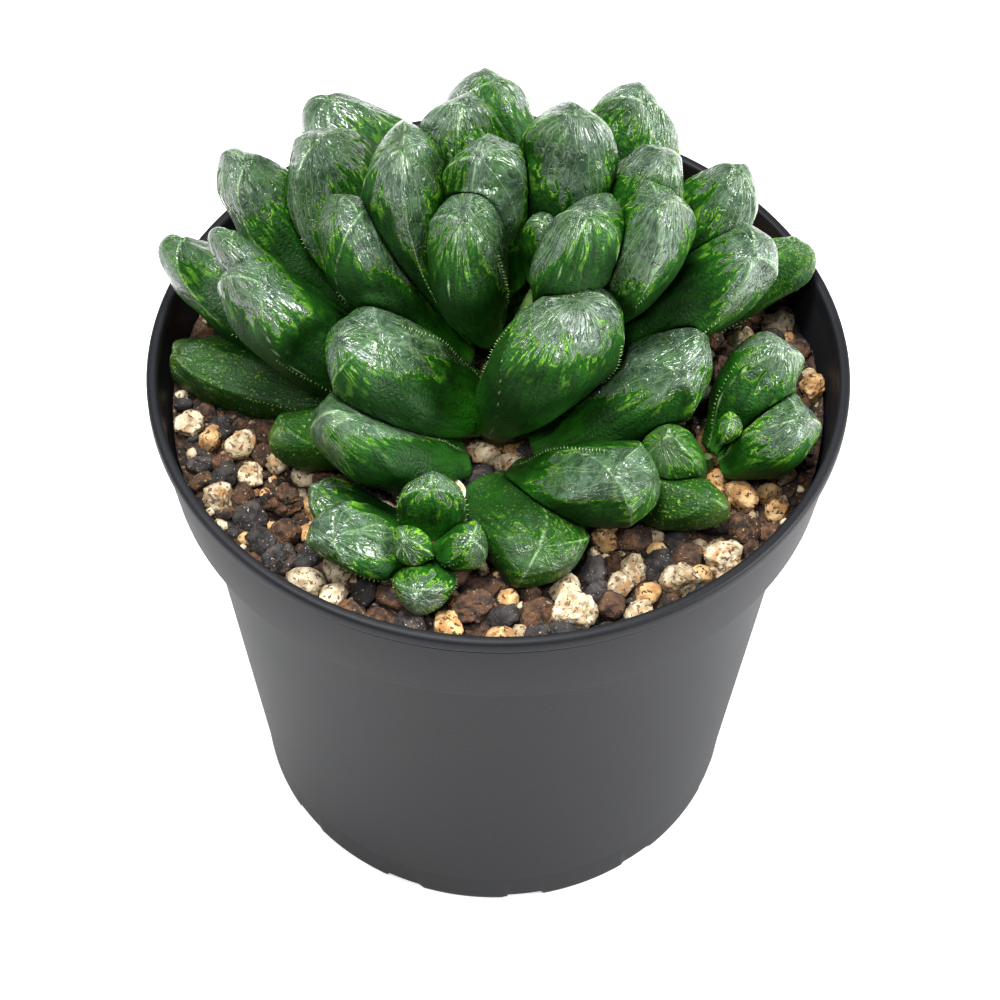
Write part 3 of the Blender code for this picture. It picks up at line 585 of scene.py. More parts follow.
def pressLeaf(leaf, near, skin):
    # Draws the skin in towards the middle of each section's free room, so that neighbours meet flat.
    # Along the ray from there to each point, steps and then halving find how far the room reaches.
    # Gives the points, and how free of neighbours each one is.
    local = np.stack([skin[..., 0], 0 * skin[..., 1], 0 * skin[..., 2]], -1)
    middleLine = toWorld(leaf, local)[:, :1]
    world = toWorld(leaf, skin)
    if not near:
        return world, np.ones(world.shape[:2])
    coarse = world[:, ::4]
    steps = (np.arange(leafShape["probes"]) + 0.5) / leafShape["probes"]
    grid = middleLine[:, :, None] + (coarse - middleLine)[:, :, None] * steps[:, None]
    spare = spareDepth(leaf, near, grid)
    room = (spare > 0)[..., None] * steps[:, None]
    total = room.sum(axis=(1, 2))
    flat = spare.reshape(len(grid), -1)
    freest = grid.reshape(len(grid), -1, 3)[np.arange(len(grid)), flat.argmax(axis=1)]
    middle = np.where(total > 0, (grid * room).sum(axis=(1, 2)) / np.maximum(total, 1e-9), freest)
    padded = np.concatenate([middle[:1]] * 3 + [middle] + [middle[-1:]] * 3)
    middle = sum(padded[i:i + len(middle)] for i in range(7)) / 7
    ray = world - middle[:, None]
    low = np.full(world.shape[:2], leafShape["thinnest"])
    high = np.ones(world.shape[:2])
    unmet = np.ones(world.shape[:2], bool)
    for share in np.linspace(leafShape["thinnest"], 1, leafShape["raySteps"]):
        clear = spareDepth(leaf, near, middle[:, None] + ray * share) > 0
        high = np.where(unmet & ~clear, share, high)
        unmet &= clear
        low = np.where(unmet, share, low)
    for _ in range(leafShape["halvings"]):
        half = (low + high) / 2
        clear = spareDepth(leaf, near, middle[:, None] + ray * half[..., None]) > 0
        low = np.where(clear & ~unmet, half, low)
        high = np.where(~clear & ~unmet, half, high)
    pressed = middle[:, None] + ray * low[..., None]
    return pressed, smoothStep(0.0, 0.3, spareDepth(leaf, near, pressed)) * smoothStep(0.9, 1.0, low)


def unit(vectors):
    # Vectors divided by their length
    return vectors / np.maximum(np.linalg.norm(vectors, axis=-1, keepdims=True), 1e-9)


def gridNormals(points):
    # Cross product of the steps along and round a grid, turned outwards
    along = np.gradient(points, axis=0)
    around = np.roll(points, -1, axis=1) - np.roll(points, 1, axis=1)
    normal = unit(np.cross(around, along))
    return normal * np.sign((normal * (points - points.mean(axis=1, keepdims=True))).sum())


def veinPlane(leaf, share, angle):
    # Conformal plane of the leaf with its seat at infinity: log radius falls by arc length over
    # girth, so lines at one angle run along the leaf. It is centred on the star, where the veins meet.
    width, upper, lower = halfSizes(leaf, share * leaf["length"])
    girth = np.sqrt(width * (upper + lower) / 2)
    arc = np.hypot(np.diff(share) * leaf["length"], np.diff(girth))
    logRadius = -np.concatenate([[0], np.cumsum(arc / ((girth[1:] + girth[:-1]) / 2))])
    starShare, starTurn = leaf["star"][0], math.radians(leaf["star"][1])
    logRadius -= np.interp(starShare, share, logRadius)
    radius = np.exp(np.clip(logRadius, -12, 5))[:, None]
    x = radius * np.cos(angle) - math.cos(starTurn)
    y = radius * np.sin(angle) - math.sin(starTurn)
    scale = girth[:, None] / radius  # millimetres for one unit of the plane
    return x, y, scale


def leafRelief(leaf, x, y, scale, share, world):
    # Crests run from the star along both margins and both middles, each a soft roof that falls off
    # with distance; then come broad swellings, and wrinkles on the windows. Gives the height, and
    # the distance to the nearest crest, in millimetres.
    seed = leaf["seed"]
    size = min(1.0, leaf["width"] / leafShape["reliefFullWidth"])
    fade = smoothStep(0.05, 0.3, share)[:, None]
    nearNose = smoothStep(0.35, 0.75, share)[:, None]
    far = 99.0
    height, nearest = 0 * x, far + 0 * x
    for quarter, tall in enumerate(leafShape["crests"]):
        turn = math.radians(leaf["swing"] + 90 * quarter)
        along = x * math.cos(turn) + y * math.sin(turn)
        away = np.abs(x * math.sin(turn) - y * math.cos(turn)) * scale
        roof = np.exp(-np.sqrt(away ** 2 + leafShape["crestSoft"] ** 2) / leafShape["crestWidth"])
        begun = smoothStep(-0.2, 0.8, along * scale)
        nearest = np.minimum(nearest, np.where(along > 0, away, far) + 0.25 * (quarter == 1))
        height = np.maximum(height, tall * roof * begun * np.where(quarter % 2, nearNose, fade))
    height = height - leafShape["crestSink"] * nearNose
    height = height + leafShape["swell"] * ripple(world, leafShape["swellSize"], seed) * fade
    wander = [ripple(world, leafShape["wanderSize"], seed + k) for k in (1, 2, 3)]
    bent = world + 0.5 * np.stack(wander, -1)
    wrinkle = 1 - np.abs(ripple(bent, leafShape["wrinkleSize"], seed + 4))
    return size * (height + leafShape["wrinkleHeight"] * wrinkle * nearNose), nearest


def marginTeeth(leaf, points, free, start):
    # Three-sided spikes along both margins, square to the margin and leaning towards the nose; only
    # where no neighbour presses
    shape = leafShape
    found, faces = [], []
    cols = points.shape[1]
    middles = points.mean(axis=1)
    turned = int(round(leaf["swing"] / 360 * cols))
    for col in (turned % cols, (turned + cols // 2) % cols):
        line = points[:, col]
        run = np.concatenate([[0], np.cumsum(np.linalg.norm(np.diff(line, axis=0), axis=1))])
        total = run[-1]
        count = int((shape["toothTo"] - shape["toothFrom"]) * total / shape["toothSpacing"])
        if count < 3:
            continue
        dice = np.random.RandomState(leaf["seed"] + col)
        at = np.linspace(shape["toothFrom"], shape["toothTo"], count) * total
        at += dice.uniform(-0.2, 0.2, count) * shape["toothSpacing"]
        at = at[np.interp(at, run, free[:, col]) > 0.5]
        if not len(at):
            continue
        place, inner, along = (
            np.stack([np.interp(at, run, values[:, k]) for k in range(3)], -1)
            for values in (line, middles, np.gradient(line, run, axis=0)))
        out = unit(place - inner)
        along = unit(along)
        out = unit(out - along * (out * along).sum(1, keepdims=True))
        half = shape["toothWidth"]
        side = np.cross(out, along) * half * 0.85
        tall = shape["toothHeight"] * min(1.0, leaf["width"] / shape["toothFullWidth"])
        tall = tall * dice.uniform(0.6, 1.15, (len(at), 1))
        root = place - shape["toothSink"] * out
        corners = [root + along * half, root - along * half * 0.5 + side,
                   root - along * half * 0.5 - side, place + out * tall + along * tall * shape["toothLean"]]
        base = start + sum(len(part) for part in found) + np.arange(len(at))[:, None] * 4
        found.append(np.stack(corners, 1).reshape(-1, 3))
        faces += [base + np.array(corner) for corner in ([0, 1, 2], [0, 3, 1], [1, 3, 2], [2, 3, 0])]
    if not found:
        return np.zeros((0, 3)), np.zeros((0, 3), int)
    return np.concatenate(found), np.concatenate(faces)


def makeLeaf(leaf, leaves, skinMaterial, toothMaterial):
    # Pressed skin, raised by its relief where it is free; the attributes carry what the skin's
    # pattern follows: the vein plane, the depth inside the window, and the wrapped leaf millimetres
    small = leaf["width"] < leafShape["smallWidth"] and leaf["length"] < leafShape["smallLength"]
    rows = leafShape["smallRows" if small else "rows"]
    cols = leafShape["smallCols" if small else "cols"]
    share, angle, skin = leafSkin(leaf, rows, cols)
    near = [other for other in leaves if other is not leaf and boxesMeet(leaf, other)]
    points, free = pressLeaf(leaf, near, skin)
    x, y, scale = veinPlane(leaf, share, angle)
    height, nearest = leafRelief(leaf, x, y, scale, share, points)
    points = points + gridNormals(points) * (height * free)[..., None]
    points[..., 2] = np.minimum(points[..., 2], cadBox[1][2] / mm - leafShape["underTop"])
    eighth = angle / (math.pi / 4)
    low, blendShare = eighth.astype(int), smoothStep(0, 1, eighth % 1)
    limits = np.array(leaf["windows"] + leaf["windows"][:1])
    edge = limits[low] * (1 - blendShare) + limits[low + 1] * blendShare
    depth = (share[:, None] - edge[None, :]) * leaf["length"]
    full, quads, tris = closedGrid(points)

    def spread(values):
        # One value a grid point, then one for each pole
        values = np.broadcast_to(values, points.shape[:2])
        return np.concatenate([values.ravel(), values[[0, -1]].mean(axis=1)])

    teeth, toothFaces = marginTeeth(leaf, points, free, len(full))
    starTurn = math.radians(leaf["star"][1])
    station = share[:, None]
    half = leaf["width"] / 2
    veins = leaf["veins"] * min(1.0, leaf["width"] / leafShape["veinsFullWidth"])
    count = max(leafShape["fewestVeins"], veins) / (2 * math.pi)
    attributes = {
        "veinPlace": (x, y, depth),
        "leafPlace": (station, nearest, leaf["tone"]),
        "leafKind": (count, leaf["clear"], leaf["age"]),
        "leafWrap": (half * np.cos(angle), half * np.sin(angle), station * leaf["length"]),
    }
    attributes = {label: np.stack([spread(part) for part in found], -1)
                  for label, found in attributes.items()}
    attributes["veinPlace"][-1, :2] = (-math.cos(starTurn), -math.sin(starTurn))
    attributes["leafWrap"] += 100 * leaf["tone"]
    none = np.zeros((len(teeth), 3))
    attributes = {label: np.concatenate([found, none]) for label, found in attributes.items()}
    slotOfFace = np.repeat([0, 1], [len(quads) + len(tris), len(toothFaces)])
    piece = makeMesh(
        "haworthia_" + leaf["name"], np.concatenate([full, teeth]), quads,
        np.concatenate([tris, toothFaces]).astype(int), [skinMaterial, toothMaterial], slotOfFace, attributes)
    finishPiece(piece, "leaf_skin", leaf["name"])


def boxesMeet(first, second):
    # Whether two leaves' boxes overlap, so that only near neighbours are compared
    return bool((first["low"] < second["high"]).all() and (second["low"] < first["high"]).all())


def makePlant():
    # Reads the three tables, boxes every leaf, then makes each against its neighbours
    leaves = []
    for prefix, table, axis in (("leaf_%02d", rosette, crownAxis),
                                ("right_offset_leaf_%d", rightOffset, uprightAxis("right_offset_stem")),
                                ("left_offset_leaf_%d", leftOffset, uprightAxis("left_offset_stem"))):
        leaves += [readLeaf(prefix % (i + 1), row, axis) for i, row in enumerate(table)]
    dice = np.random.RandomState(plantSeed)
    for number, leaf in enumerate(leaves):
        leaf["seed"] = 100 + 10 * number
        leaf["tone"] = dice.uniform()
        skin = toWorld(leaf, leafSkin(leaf, 12, 12)[2]).reshape(-1, 3)
        leaf["low"], leaf["high"] = skin.min(0) - 0.5, skin.max(0) + 0.5
    skinMaterial, toothMaterial = haworthiaSkin(), paleTooth()
    for leaf in leaves:
        makeLeaf(leaf, leaves, skinMaterial, toothMaterial)
    print("leaves made:", len(leaves))
    return leaves


# ---- the pot ----

# The pot in millimetres and degrees, as its solid has it
potShape = {
    "height": 87.0, "rim": 50.0, "lipWidth": 1.7, "lipDepth": 1.9, "overhang": 0.6, "collar": 15.1,
    "collarFoot": 47.7, "bodyTop": 44.6, "foot": 36.9, "chamfer": 0.7, "ringWidth": 2.0,
    "wall": 1.3, "underside": 2.6, "floor": 1.4, "columns": 192,
    "notches": 12, "notchWidth": 5.0, "notchHeight": 2.0, "firstNotch": 8.0, "notchSlope": 0.8,
    "drains": 6, "drainWidth": 7.0, "drainCircle": 24.0, "drainSides": 32, "sharpAngle": 32,
}


def potInside(height):
    # Inner radius at a height: straight between the foot, the step under the collar and the lip
    shape = potShape
    step = shape["height"] - shape["collar"]
    heights = (shape["underside"], step - shape["wall"], step + shape["wall"], shape["height"])
    radii = (shape["foot"] - shape["wall"], shape["bodyTop"] - shape["wall"],
             shape["collarFoot"] - shape["wall"], shape["rim"] - shape["lipWidth"])
    return np.interp(height, heights, radii)


def filleted(corners, steps=5):
    # Rounds each (radius, height, fillet) corner with an arc tangent to both of its sides
    path = [np.array(corners[0][:2], float)]
    for before, here, after in zip(corners, corners[1:], corners[2:]):
        place = np.array(here[:2], float)
        back, on = np.array(before[:2]) - place, np.array(after[:2]) - place
        back, on = back / np.linalg.norm(back), on / np.linalg.norm(on)
        half = math.acos(np.clip(back @ on, -1, 1)) / 2
        if here[2] <= 0 or abs(math.pi / 2 - half) < 0.01:
            path.append(place)
            continue
        cut = here[2] / math.tan(half)
        middle = place + (back + on) / np.linalg.norm(back + on) * here[2] / math.sin(half)
        first, last = place + back * cut - middle, place + on * cut - middle
        sweep = math.pi - 2 * half
        for share in np.linspace(0, 1, steps):
            mixed = (first * math.sin((1 - share) * sweep) + last * math.sin(share * sweep)) / math.sin(sweep)
            path.append(middle + mixed)
    path.append(np.array(corners[-1][:2], float))
    return np.array(path)


# Colours, pattern sizes and heights in millimetres, and roughness
potLook = {
    "dark": "#121316", "light": "#18191c", "dustAndShade": "#2c2d31", "cloudSize": 22.0, "grainSize": 0.35,
    "grainDepth": 0.05, "rough": 0.50, "lipSmoother": -0.06, "lipFrom": 84.6, "lipFull": 85.6,
}


def potPlastic():
    # Injection-moulded polypropylene, dark grey: the mould's fine spark grain leaves it satin, the
    # lip is smoother, and handling has left a little pale dust and faint scuffs.
    look = potLook
    material, shader, add = newMaterial("moulded_polypropylene", {"IOR": 1.49, "Specular IOR Level": 0.14})
    coords = add("objectPlace")
    cloud = add("noise", coords, perSize(look["cloudSize"]), 3)
    grain = add("noise", coords, perSize(look["grainSize"]), 2)
    colour = add("mix", add("step", cloud, 0.3, 0.7), linear(look["dark"]), linear(look["light"]))
    dusty = add("MULTIPLY", add("step", grain, 0.55, 0.8), 0.25)
    lip = add("step", add("split", coords)["Z"], look["lipFrom"] * mm, look["lipFull"] * mm)
    rough = add("MULTIPLY_ADD", cloud, 0.08, add("MULTIPLY_ADD", lip, look["lipSmoother"], look["rough"]))
    setInputs(shader, {
        "Base Color": add("mix", dusty, colour, linear(look["dustAndShade"])), "Roughness": rough,
        "Normal": add("bump", grain, look["grainDepth"] * mm, 0.5)})
    return material


def makePot():
    # The outline turned about Z; below the notch height its foot rises inside each notch
    shape = potShape
    floorTop = shape["underside"] + shape["floor"]
    step = shape["height"] - shape["collar"]
    lipInner = shape["rim"] - shape["lipWidth"]
    ringInner = shape["foot"] - shape["chamfer"] - shape["ringWidth"]
    wall = shape["wall"]
    corners = [  # radius, height and fillet of each
        (6.0, floorTop, 0),
        (float(potInside(floorTop)), floorTop, 1.4),
        (float(potInside(step - wall)), step - wall, 0.6),
        (float(potInside(step + wall)), step + wall, 0.6),
        (lipInner, shape["height"] - 3.2, 0.4),
        (lipInner + 0.1, shape["height"], 0.5),
        (shape["rim"], shape["height"], 0.65),
        (shape["rim"], shape["height"] - shape["lipDepth"], 0.3),
        (shape["rim"] - shape["overhang"] - 0.25, shape["height"] - shape["lipDepth"] - 0.15, 0.1),
        (shape["rim"] - shape["overhang"], shape["height"] - shape["lipDepth"] - 0.9, 0.2),
        (shape["collarFoot"], step, 0.22),
        (shape["collarFoot"] - 0.7, step - 0.35, 0.2),
        (shape["bodyTop"], step - 0.4, 0.4),
        (shape["foot"] + 0.45, 7.0, 12.0),
        (shape["foot"], shape["chamfer"] * 2, 0.8),
        (shape["foot"] - shape["chamfer"], 0.0, 0.3),
        (ringInner, 0.0, 0.25),
        (ringInner - 0.3, shape["underside"], 0.3),
        (6.0, shape["underside"], 0),
    ]
    path = filleted(corners)
    columns = np.arange(shape["columns"]) * 360 / shape["columns"]
    notchMiddles = shape["firstNotch"] + np.arange(shape["notches"]) * 360 / shape["notches"]
    halfNotch = math.degrees(shape["notchWidth"] / 2 / shape["foot"])
    slope = math.degrees(shape["notchSlope"] / shape["foot"])
    ends = np.array([-halfNotch - slope, -halfNotch, halfNotch, halfNotch + slope])
    columns = np.unique(np.round(np.concatenate([columns, (notchMiddles[:, None] + ends).ravel() % 360]), 3))
    away = np.abs((columns[:, None] - notchMiddles + 180) % 360 - 180).min(axis=1)
    lift = shape["notchHeight"] * np.clip((halfNotch + slope - away) / slope, 0, 1)
    radius, height = path[:, :1], path[:, 1:]
    inFoot = (radius > ringInner - 1) & (height < shape["notchHeight"])
    level = np.where(inFoot, np.maximum(height, lift[None, :]), height + 0 * lift[None, :])
    angle = np.radians(columns)[None, :]
    rows = np.stack([radius * np.sin(angle), -radius * np.cos(angle), level], -1)
    points, quads, tris = closedGrid(rows)
    plain = makeMesh("pot_before_drilling", points, quads, tris, [])
    # Drain holes through the floor
    count, sides = shape["drains"], shape["drainSides"]
    turn = np.arange(count) * 2 * math.pi / count
    hole = np.arange(sides) * 2 * math.pi / sides
    rings = []
    for z in (shape["underside"] - 2, floorTop + 2):
        x = shape["drainCircle"] * np.sin(turn)[:, None] + shape["drainWidth"] / 2 * np.cos(hole)
        y = -shape["drainCircle"] * np.cos(turn)[:, None] + shape["drainWidth"] / 2 * np.sin(hole)
        rings.append(np.stack([x, y, z + 0 * x], -1))
    drills = [closedGrid(np.stack([rings[0][k], rings[1][k]])) for k in range(count)]
    each = len(drills[0][0])
    drill = makeMesh("drain_drill", np.concatenate([part[0] for part in drills]), *(
        np.concatenate([part[which] + k * each for k, part in enumerate(drills)]) for which in (1, 2)), [])
    cut = plain.modifiers.new("drains", "BOOLEAN")
    cut.operation, cut.solver, cut.object = "DIFFERENCE", "EXACT", drill
    bpy.context.view_layer.update()
    mesh = bpy.data.meshes.new_from_object(plain.evaluated_get(bpy.context.evaluated_depsgraph_get()))
    mesh.name = "nursery_pot"
    pot = addObject("nursery_pot", mesh)
    for helper in (plain, drill):
        bpy.data.objects.remove(helper, do_unlink=True)
    mesh.materials.clear()
    mesh.materials.append(potPlastic())
    mesh.shade_smooth()
    mesh.set_sharp_from_angle(angle=math.radians(shape["sharpAngle"]))
    finishPiece(pot, "pot_plastic", "pot")
    print("pot made:", len(mesh.polygons), "faces")


# ---- soil, grit and pebbles ----

soilLook = {
    "damp": "#120c08", "dry": "#4a3220", "fleck": "#9a7c58",
    "clumpSize": 1.6, "fleckSize": 0.6, "crumbSize": 0.7, "crumbDepth": 1.2,
}


def pottingMix():
    # Potting mix of bark fines and volcanic dust: crumbly and matt, nearly black where it is damp
    look = soilLook
    material, shader, add = newMaterial("bark_and_grit_mix", {"Roughness": 0.95})
    coords = add("objectPlace")
    clumps = add("step", add("noise", coords, perSize(look["clumpSize"]), 5), 0.35, 0.7)
    flecks = add("step", add("noise", coords, perSize(look["fleckSize"]), 3), 0.60, 0.68)
    colour = add("mix", clumps, linear(look["damp"]), linear(look["dry"]))
    crumbs = add("noise", coords, perSize(look["crumbSize"]), 5)
    setInputs(shader, {
        "Base Color": add("mix", add("MULTIPLY", flecks, 0.7), colour, linear(look["fleck"])),
        "Normal": add("bump", crumbs, look["crumbDepth"] * mm, 1.0)})
    return material


# Body colours, rust, speck colour, where specks begin, speck size and relief in millimetres
stoneLooks = {
    "pumice": ("#998768", "#d3c4a6", "#a8713a", "#6b5337", 0.58, 0.6, 0.35),
    "clay": ("#8f6a3e", "#cba877", "#a8713a", "#4d3018", 0.58, 0.6, 0.40),
    "lava": ("#1a120d", "#573a26", "#7d5430", "#a1845c", 0.63, 0.5, 0.80),
    "cinder": ("#121010", "#33302f", "#51433a", "#a89f92", 0.64, 0.4, 0.60),
}
stonePatterns = {"cloud": 1.5, "rust": 1.4, "pits": 0.8}


def stone(kind):
    # Volcanic grit sieved for potting. Pumice is a pale frothy glass with rust and dark mineral
    # specks; fired clay is tan and even; lava and cinder are dark, pitted and dusty. All are matt.
    *colours, threshold, speckSize, depth = stoneLooks[kind]
    dark, pale, rust, speck = (linear(colour) for colour in colours)
    material, shader, add = newMaterial("grit_" + kind, {"Roughness": 0.88})
    coords = add("objectPlace")
    tone = add("split", add("attribute", attribute_name="grainTone"))
    cloud = add("step", add("noise", coords, perSize(stonePatterns["cloud"]), 5), 0.38, 0.64)
    rusty = add("step", add("noise", coords, perSize(stonePatterns["rust"]), 3), 0.48, 0.66)
    dots = add("step", add("noise", coords, perSize(speckSize), 2, 0.4), threshold, threshold + 0.06)
    base = add("mix", add("MULTIPLY", rusty, tone["Y"]), add("mix", cloud, dark, pale), rust)
    base = add("tint", 1.0, add("mix", dots, base, speck), add("join", tone["X"], tone["X"], tone["X"]))
    pits = add("noise", coords, perSize(stonePatterns["pits"]), 4, 0.3)
    pits = add("SUBTRACT", pits, add("MULTIPLY", dots, 0.5))
    setInputs(shader, {"Base Color": base, "Normal": add("bump", pits, depth * mm, 1.0)})
    return material


def lumpDirections(rings, cols):
    # Unit directions of a sphere grid, pole to pole, with its faces: sine and cosine of the fall
    # from the pole, times those of the turn
    fall = (np.arange(rings) + 1) * math.pi / (rings + 1)
    turn = np.arange(cols) * 2 * math.pi / cols
    flat = np.sin(fall)[:, None]
    rows = np.stack([flat * np.cos(turn), flat * np.sin(turn), np.cos(fall)[:, None] + 0 * turn], -1)
    points, quads, tris = closedGrid(rows)
    points[-2], points[-1] = (0, 0, 1), (0, 0, -1)
    return points, quads[:, ::-1], tris[:, ::-1]


def lumps(rings, cols, middles, sizes, seed, roughness, dentCount=9):
    # Many stones at once: spheres flattened and turned at random, cut back by flat dents,
    # then roughened by smooth noise. Middles and sizes (length, breadth, height) are in millimetres.
    dice = np.random.RandomState(seed)
    directions, quads, tris = lumpDirections(rings, cols)
    count = len(middles)
    dents = dice.normal(size=(count, dentCount, 3))
    dents /= np.linalg.norm(dents, axis=2, keepdims=True)
    limit = dice.uniform(0.66, 0.95, (count, dentCount, 1))
    facing = np.einsum("gkc,vc->gkv", dents, directions)
    radius = np.minimum(1.0, (limit / np.maximum(facing, 0.05)).min(axis=1))
    spots = directions[None] * 3 + dice.uniform(0, 50, (count, 1, 3))
    radius = radius + roughness * (ripple(spots, 3.0, seed + 1) + 0.6 * ripple(spots, 1.3, seed + 2))
    shaped = directions[None] * radius[..., None] * sizes[:, None] / 2
    turn = dice.uniform(0, 2 * math.pi, count)
    cosine, sine = np.cos(turn)[:, None], np.sin(turn)[:, None]
    placed = np.stack([shaped[..., 0] * cosine - shaped[..., 1] * sine,
                       shaped[..., 0] * sine + shaped[..., 1] * cosine, shaped[..., 2]], -1)
    placed = placed + middles[:, None]
    shift = (np.arange(count) * len(directions))[:, None, None]
    tone = np.stack([dice.uniform(0.75, 1.15, count), dice.uniform(0, 0.9, count), 0 * turn], -1)
    tones = np.repeat(tone[:, None], len(directions), axis=1)
    return (placed.reshape(-1, 3), (quads[None] + shift).reshape(-1, 4), (tris[None] + shift).reshape(-1, 3),
            tones.reshape(-1, 3))


def makeSoil():
    # A full body of mix: a crumbled top, then sides that follow the pot's inner face
    shape = soilShape
    angle = np.arange(shape["cols"]) * 2 * math.pi / shape["cols"]
    sine, cosine = np.sin(angle), np.cos(angle)
    edge = float(potInside(shape["top"] + 1)) - shape["clearance"]
    radius = np.linspace(0.4, edge, shape["rows"])[:, None]
    flat = np.stack([radius * sine, -radius * cosine, 0 * radius * angle], -1)
    crumbs = 0.55 * ripple(flat, 4.5, 21) + 0.35 * np.abs(ripple(flat, 2.0, 22))
    crumbs += 0.12 * ripple(flat, 0.9, 23)
    flat[..., 2] = soilLevel(radius) + shape["crumbled"] + crumbs
    low = potShape["underside"] + potShape["floor"] + 0.3
    step = potShape["height"] - potShape["collar"]
    levels = np.array([shape["top"] - 1, step + 1.6, step - 1.0, 60, 40, 20, low + 2, low])[:, None]
    wall = potInside(levels) - shape["clearance"]
    wall[-1] -= 2
    wallRows = np.stack([wall * sine, -wall * cosine, levels + 0 * angle], -1)
    floorRows = np.stack([4 * sine, -4 * cosine, low + 0 * angle], -1)[None]
    points, quads, tris = closedGrid(np.concatenate([flat, wallRows, floorRows]))
    soil = makeMesh("potting_mix", points, quads[:, ::-1], tris[:, ::-1], [pottingMix()])
    finishPiece(soil, "soil_mix", "soil")
    print("soil made:", len(soil.data.polygons), "faces")


# Sizes in millimetres; finer is the power that makes small grains the commoner ones
gritShape = {
    "kinds": ("pumice", "clay", "lava", "cinder"), "shares": (0.22, 0.13, 0.33, 0.32),
    "tries": 14000, "smallest": 1.3, "largest": 5.2, "finer": 2.2, "overlap": 0.70, "seed": 11,
    "coarseFrom": 3.2, "proportions": (1.05, 0.88, 0.78),
    "pebble": (46, 64), "coarse": (11, 16), "fine": (5, 8),  # rings and columns of one stone
    "pebbleSeed": 300, "pebbleUneven": 0.05, "pebbleDents": 12, "grainSeed": 500, "grainUneven": 0.07,
    "pebbleRough": {"pumice": 0.03, "clay": 0.03, "lava": 0.07},
}


def scatterGrit(leaves, pebbleMiddles, pebbleSizes):
    # Throws grains over the soil, the largest first, evenly by area, and keeps those whose probes lie
    # outside every leaf and that overlap no kept grain by more than a little
    grit = gritShape
    dice = np.random.RandomState(grit["seed"])
    count = grit["tries"]
    spread = dice.uniform(0, 1, count) ** grit["finer"]
    size = -np.sort(-grit["smallest"] - (grit["largest"] - grit["smallest"]) * spread)
    reachOut = potInside(80.0) - 0.5 - size * 0.55
    radius = reachOut * np.sqrt(dice.uniform(0, 1, count))
    angle = dice.uniform(0, 2 * math.pi, count)
    place = np.stack([radius * np.sin(angle), -radius * np.cos(angle)], -1)
    height = soilLevel(radius) + 0.7 + size * dice.uniform(0.12, 0.36, count)
    middle = np.concatenate([place, height[:, None]], 1)
    probes = np.array([[0, 0, 0], [1, 0, 0], [-1, 0, 0], [0, 1, 0], [0, -1, 0], [0, 0, 0.9]])
    spots = middle[:, None] + probes * size[:, None, None] * 0.5
    clear = np.ones(count, bool)
    for leaf in leaves:
        inBox = ((spots > leaf["low"] - 1) & (spots < leaf["high"] + 1)).all(-1).any(1) & clear
        level = skinLevel(leaf, spots[inBox])
        clear[np.flatnonzero(inBox)] = (level > 1.0).all(1)
    keptPlaces, keptSizes = pebbleMiddles[:, :2], pebbleSizes
    chosen = []
    for number in np.flatnonzero(clear):
        gap = np.linalg.norm(keptPlaces - place[number], axis=1)
        if (gap > grit["overlap"] * (keptSizes + size[number]) / 2).all():
            chosen.append(number)
            keptPlaces = np.concatenate([keptPlaces, place[number:number + 1]])
            keptSizes = np.append(keptSizes, size[number])
    chosen = np.array(chosen)
    return middle[chosen], size[chosen], dice


def makeGrit(leaves):
    # The pebbles that are solids, one by one, then the loose grains in one piece a kind and size
    grit = gritShape
    materials = {kind: stone(kind) for kind in stoneLooks}
    slots = {"pumice": "pumice", "clay": "fired_clay", "lava": "lava", "cinder": "lava"}
    pebbles = sorted(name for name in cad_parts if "pebble" in name)
    middles = np.array([boxMiddle(name) for name in pebbles])
    boxes = np.array([np.array(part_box(name)[1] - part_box(name)[0]) / mm for name in pebbles])
    # Each pebble of the solids, remade finely inside its own box
    for number, name in enumerate(pebbles):
        kind = name.split("_")[0]
        points, quads, tris, tone = lumps(
            *grit["pebble"], np.zeros((1, 3)), np.ones((1, 3)), grit["pebbleSeed"] + number,
            grit["pebbleUneven"], grit["pebbleDents"])
        rough = ripple(points, 0.30, 400 + number) + 0.7 * ripple(points, 0.12, 440 + number)
        points = points + grit["pebbleRough"][kind] * rough[:, None] * points
        low, high = points.min(0), points.max(0)
        points = (points - (high + low) / 2) / (high - low) * boxes[number] + middles[number]
        piece = makeMesh("grit_" + name, points, quads, tris, [materials[kind]], None, {"grainTone": tone})
        finishPiece(piece, slots[kind], name)
    middle, size, dice = scatterGrit(leaves, middles, boxes[:, :2].mean(1))
    kindOf = dice.choice(len(grit["kinds"]), len(size), p=grit["shares"])
    large = size >= grit["coarseFrom"]
    for number, kind in enumerate(grit["kinds"]):
        for label, wanted in (("coarse", large), ("fine", ~large)):
            mine = wanted & (kindOf == number)
            if not mine.any():
                continue
            uneven = dice.uniform(0.82, 1.18, (mine.sum(), 3))
            sizes = size[mine][:, None] * np.array(grit["proportions"]) * uneven
            points, quads, tris, tone = lumps(
                *grit[label], middle[mine], sizes, grit["grainSeed"] + number, grit["grainUneven"])
            piece = makeMesh("grit_%s_%s" % (kind, label), points, quads, tris, [materials[kind]], None,
                             {"grainTone": tone})
            finishPiece(piece, slots[kind])
    print("grit made:", len(size), "grains")


# ---- stems and the dry leaf base ----

stemLook = {"dark": "#34521a", "pale": "#557232", "dry": "#6a4f33", "dryFull": 78.0, "dryFrom": 82.0}
dryLook = {"straw": "#b8a57e", "pale": "#e6dfcc", "wall": 0.16, "sideCurl": 0.35, "tipCurl": 0.5,
           "rows": 26, "cols": 21}


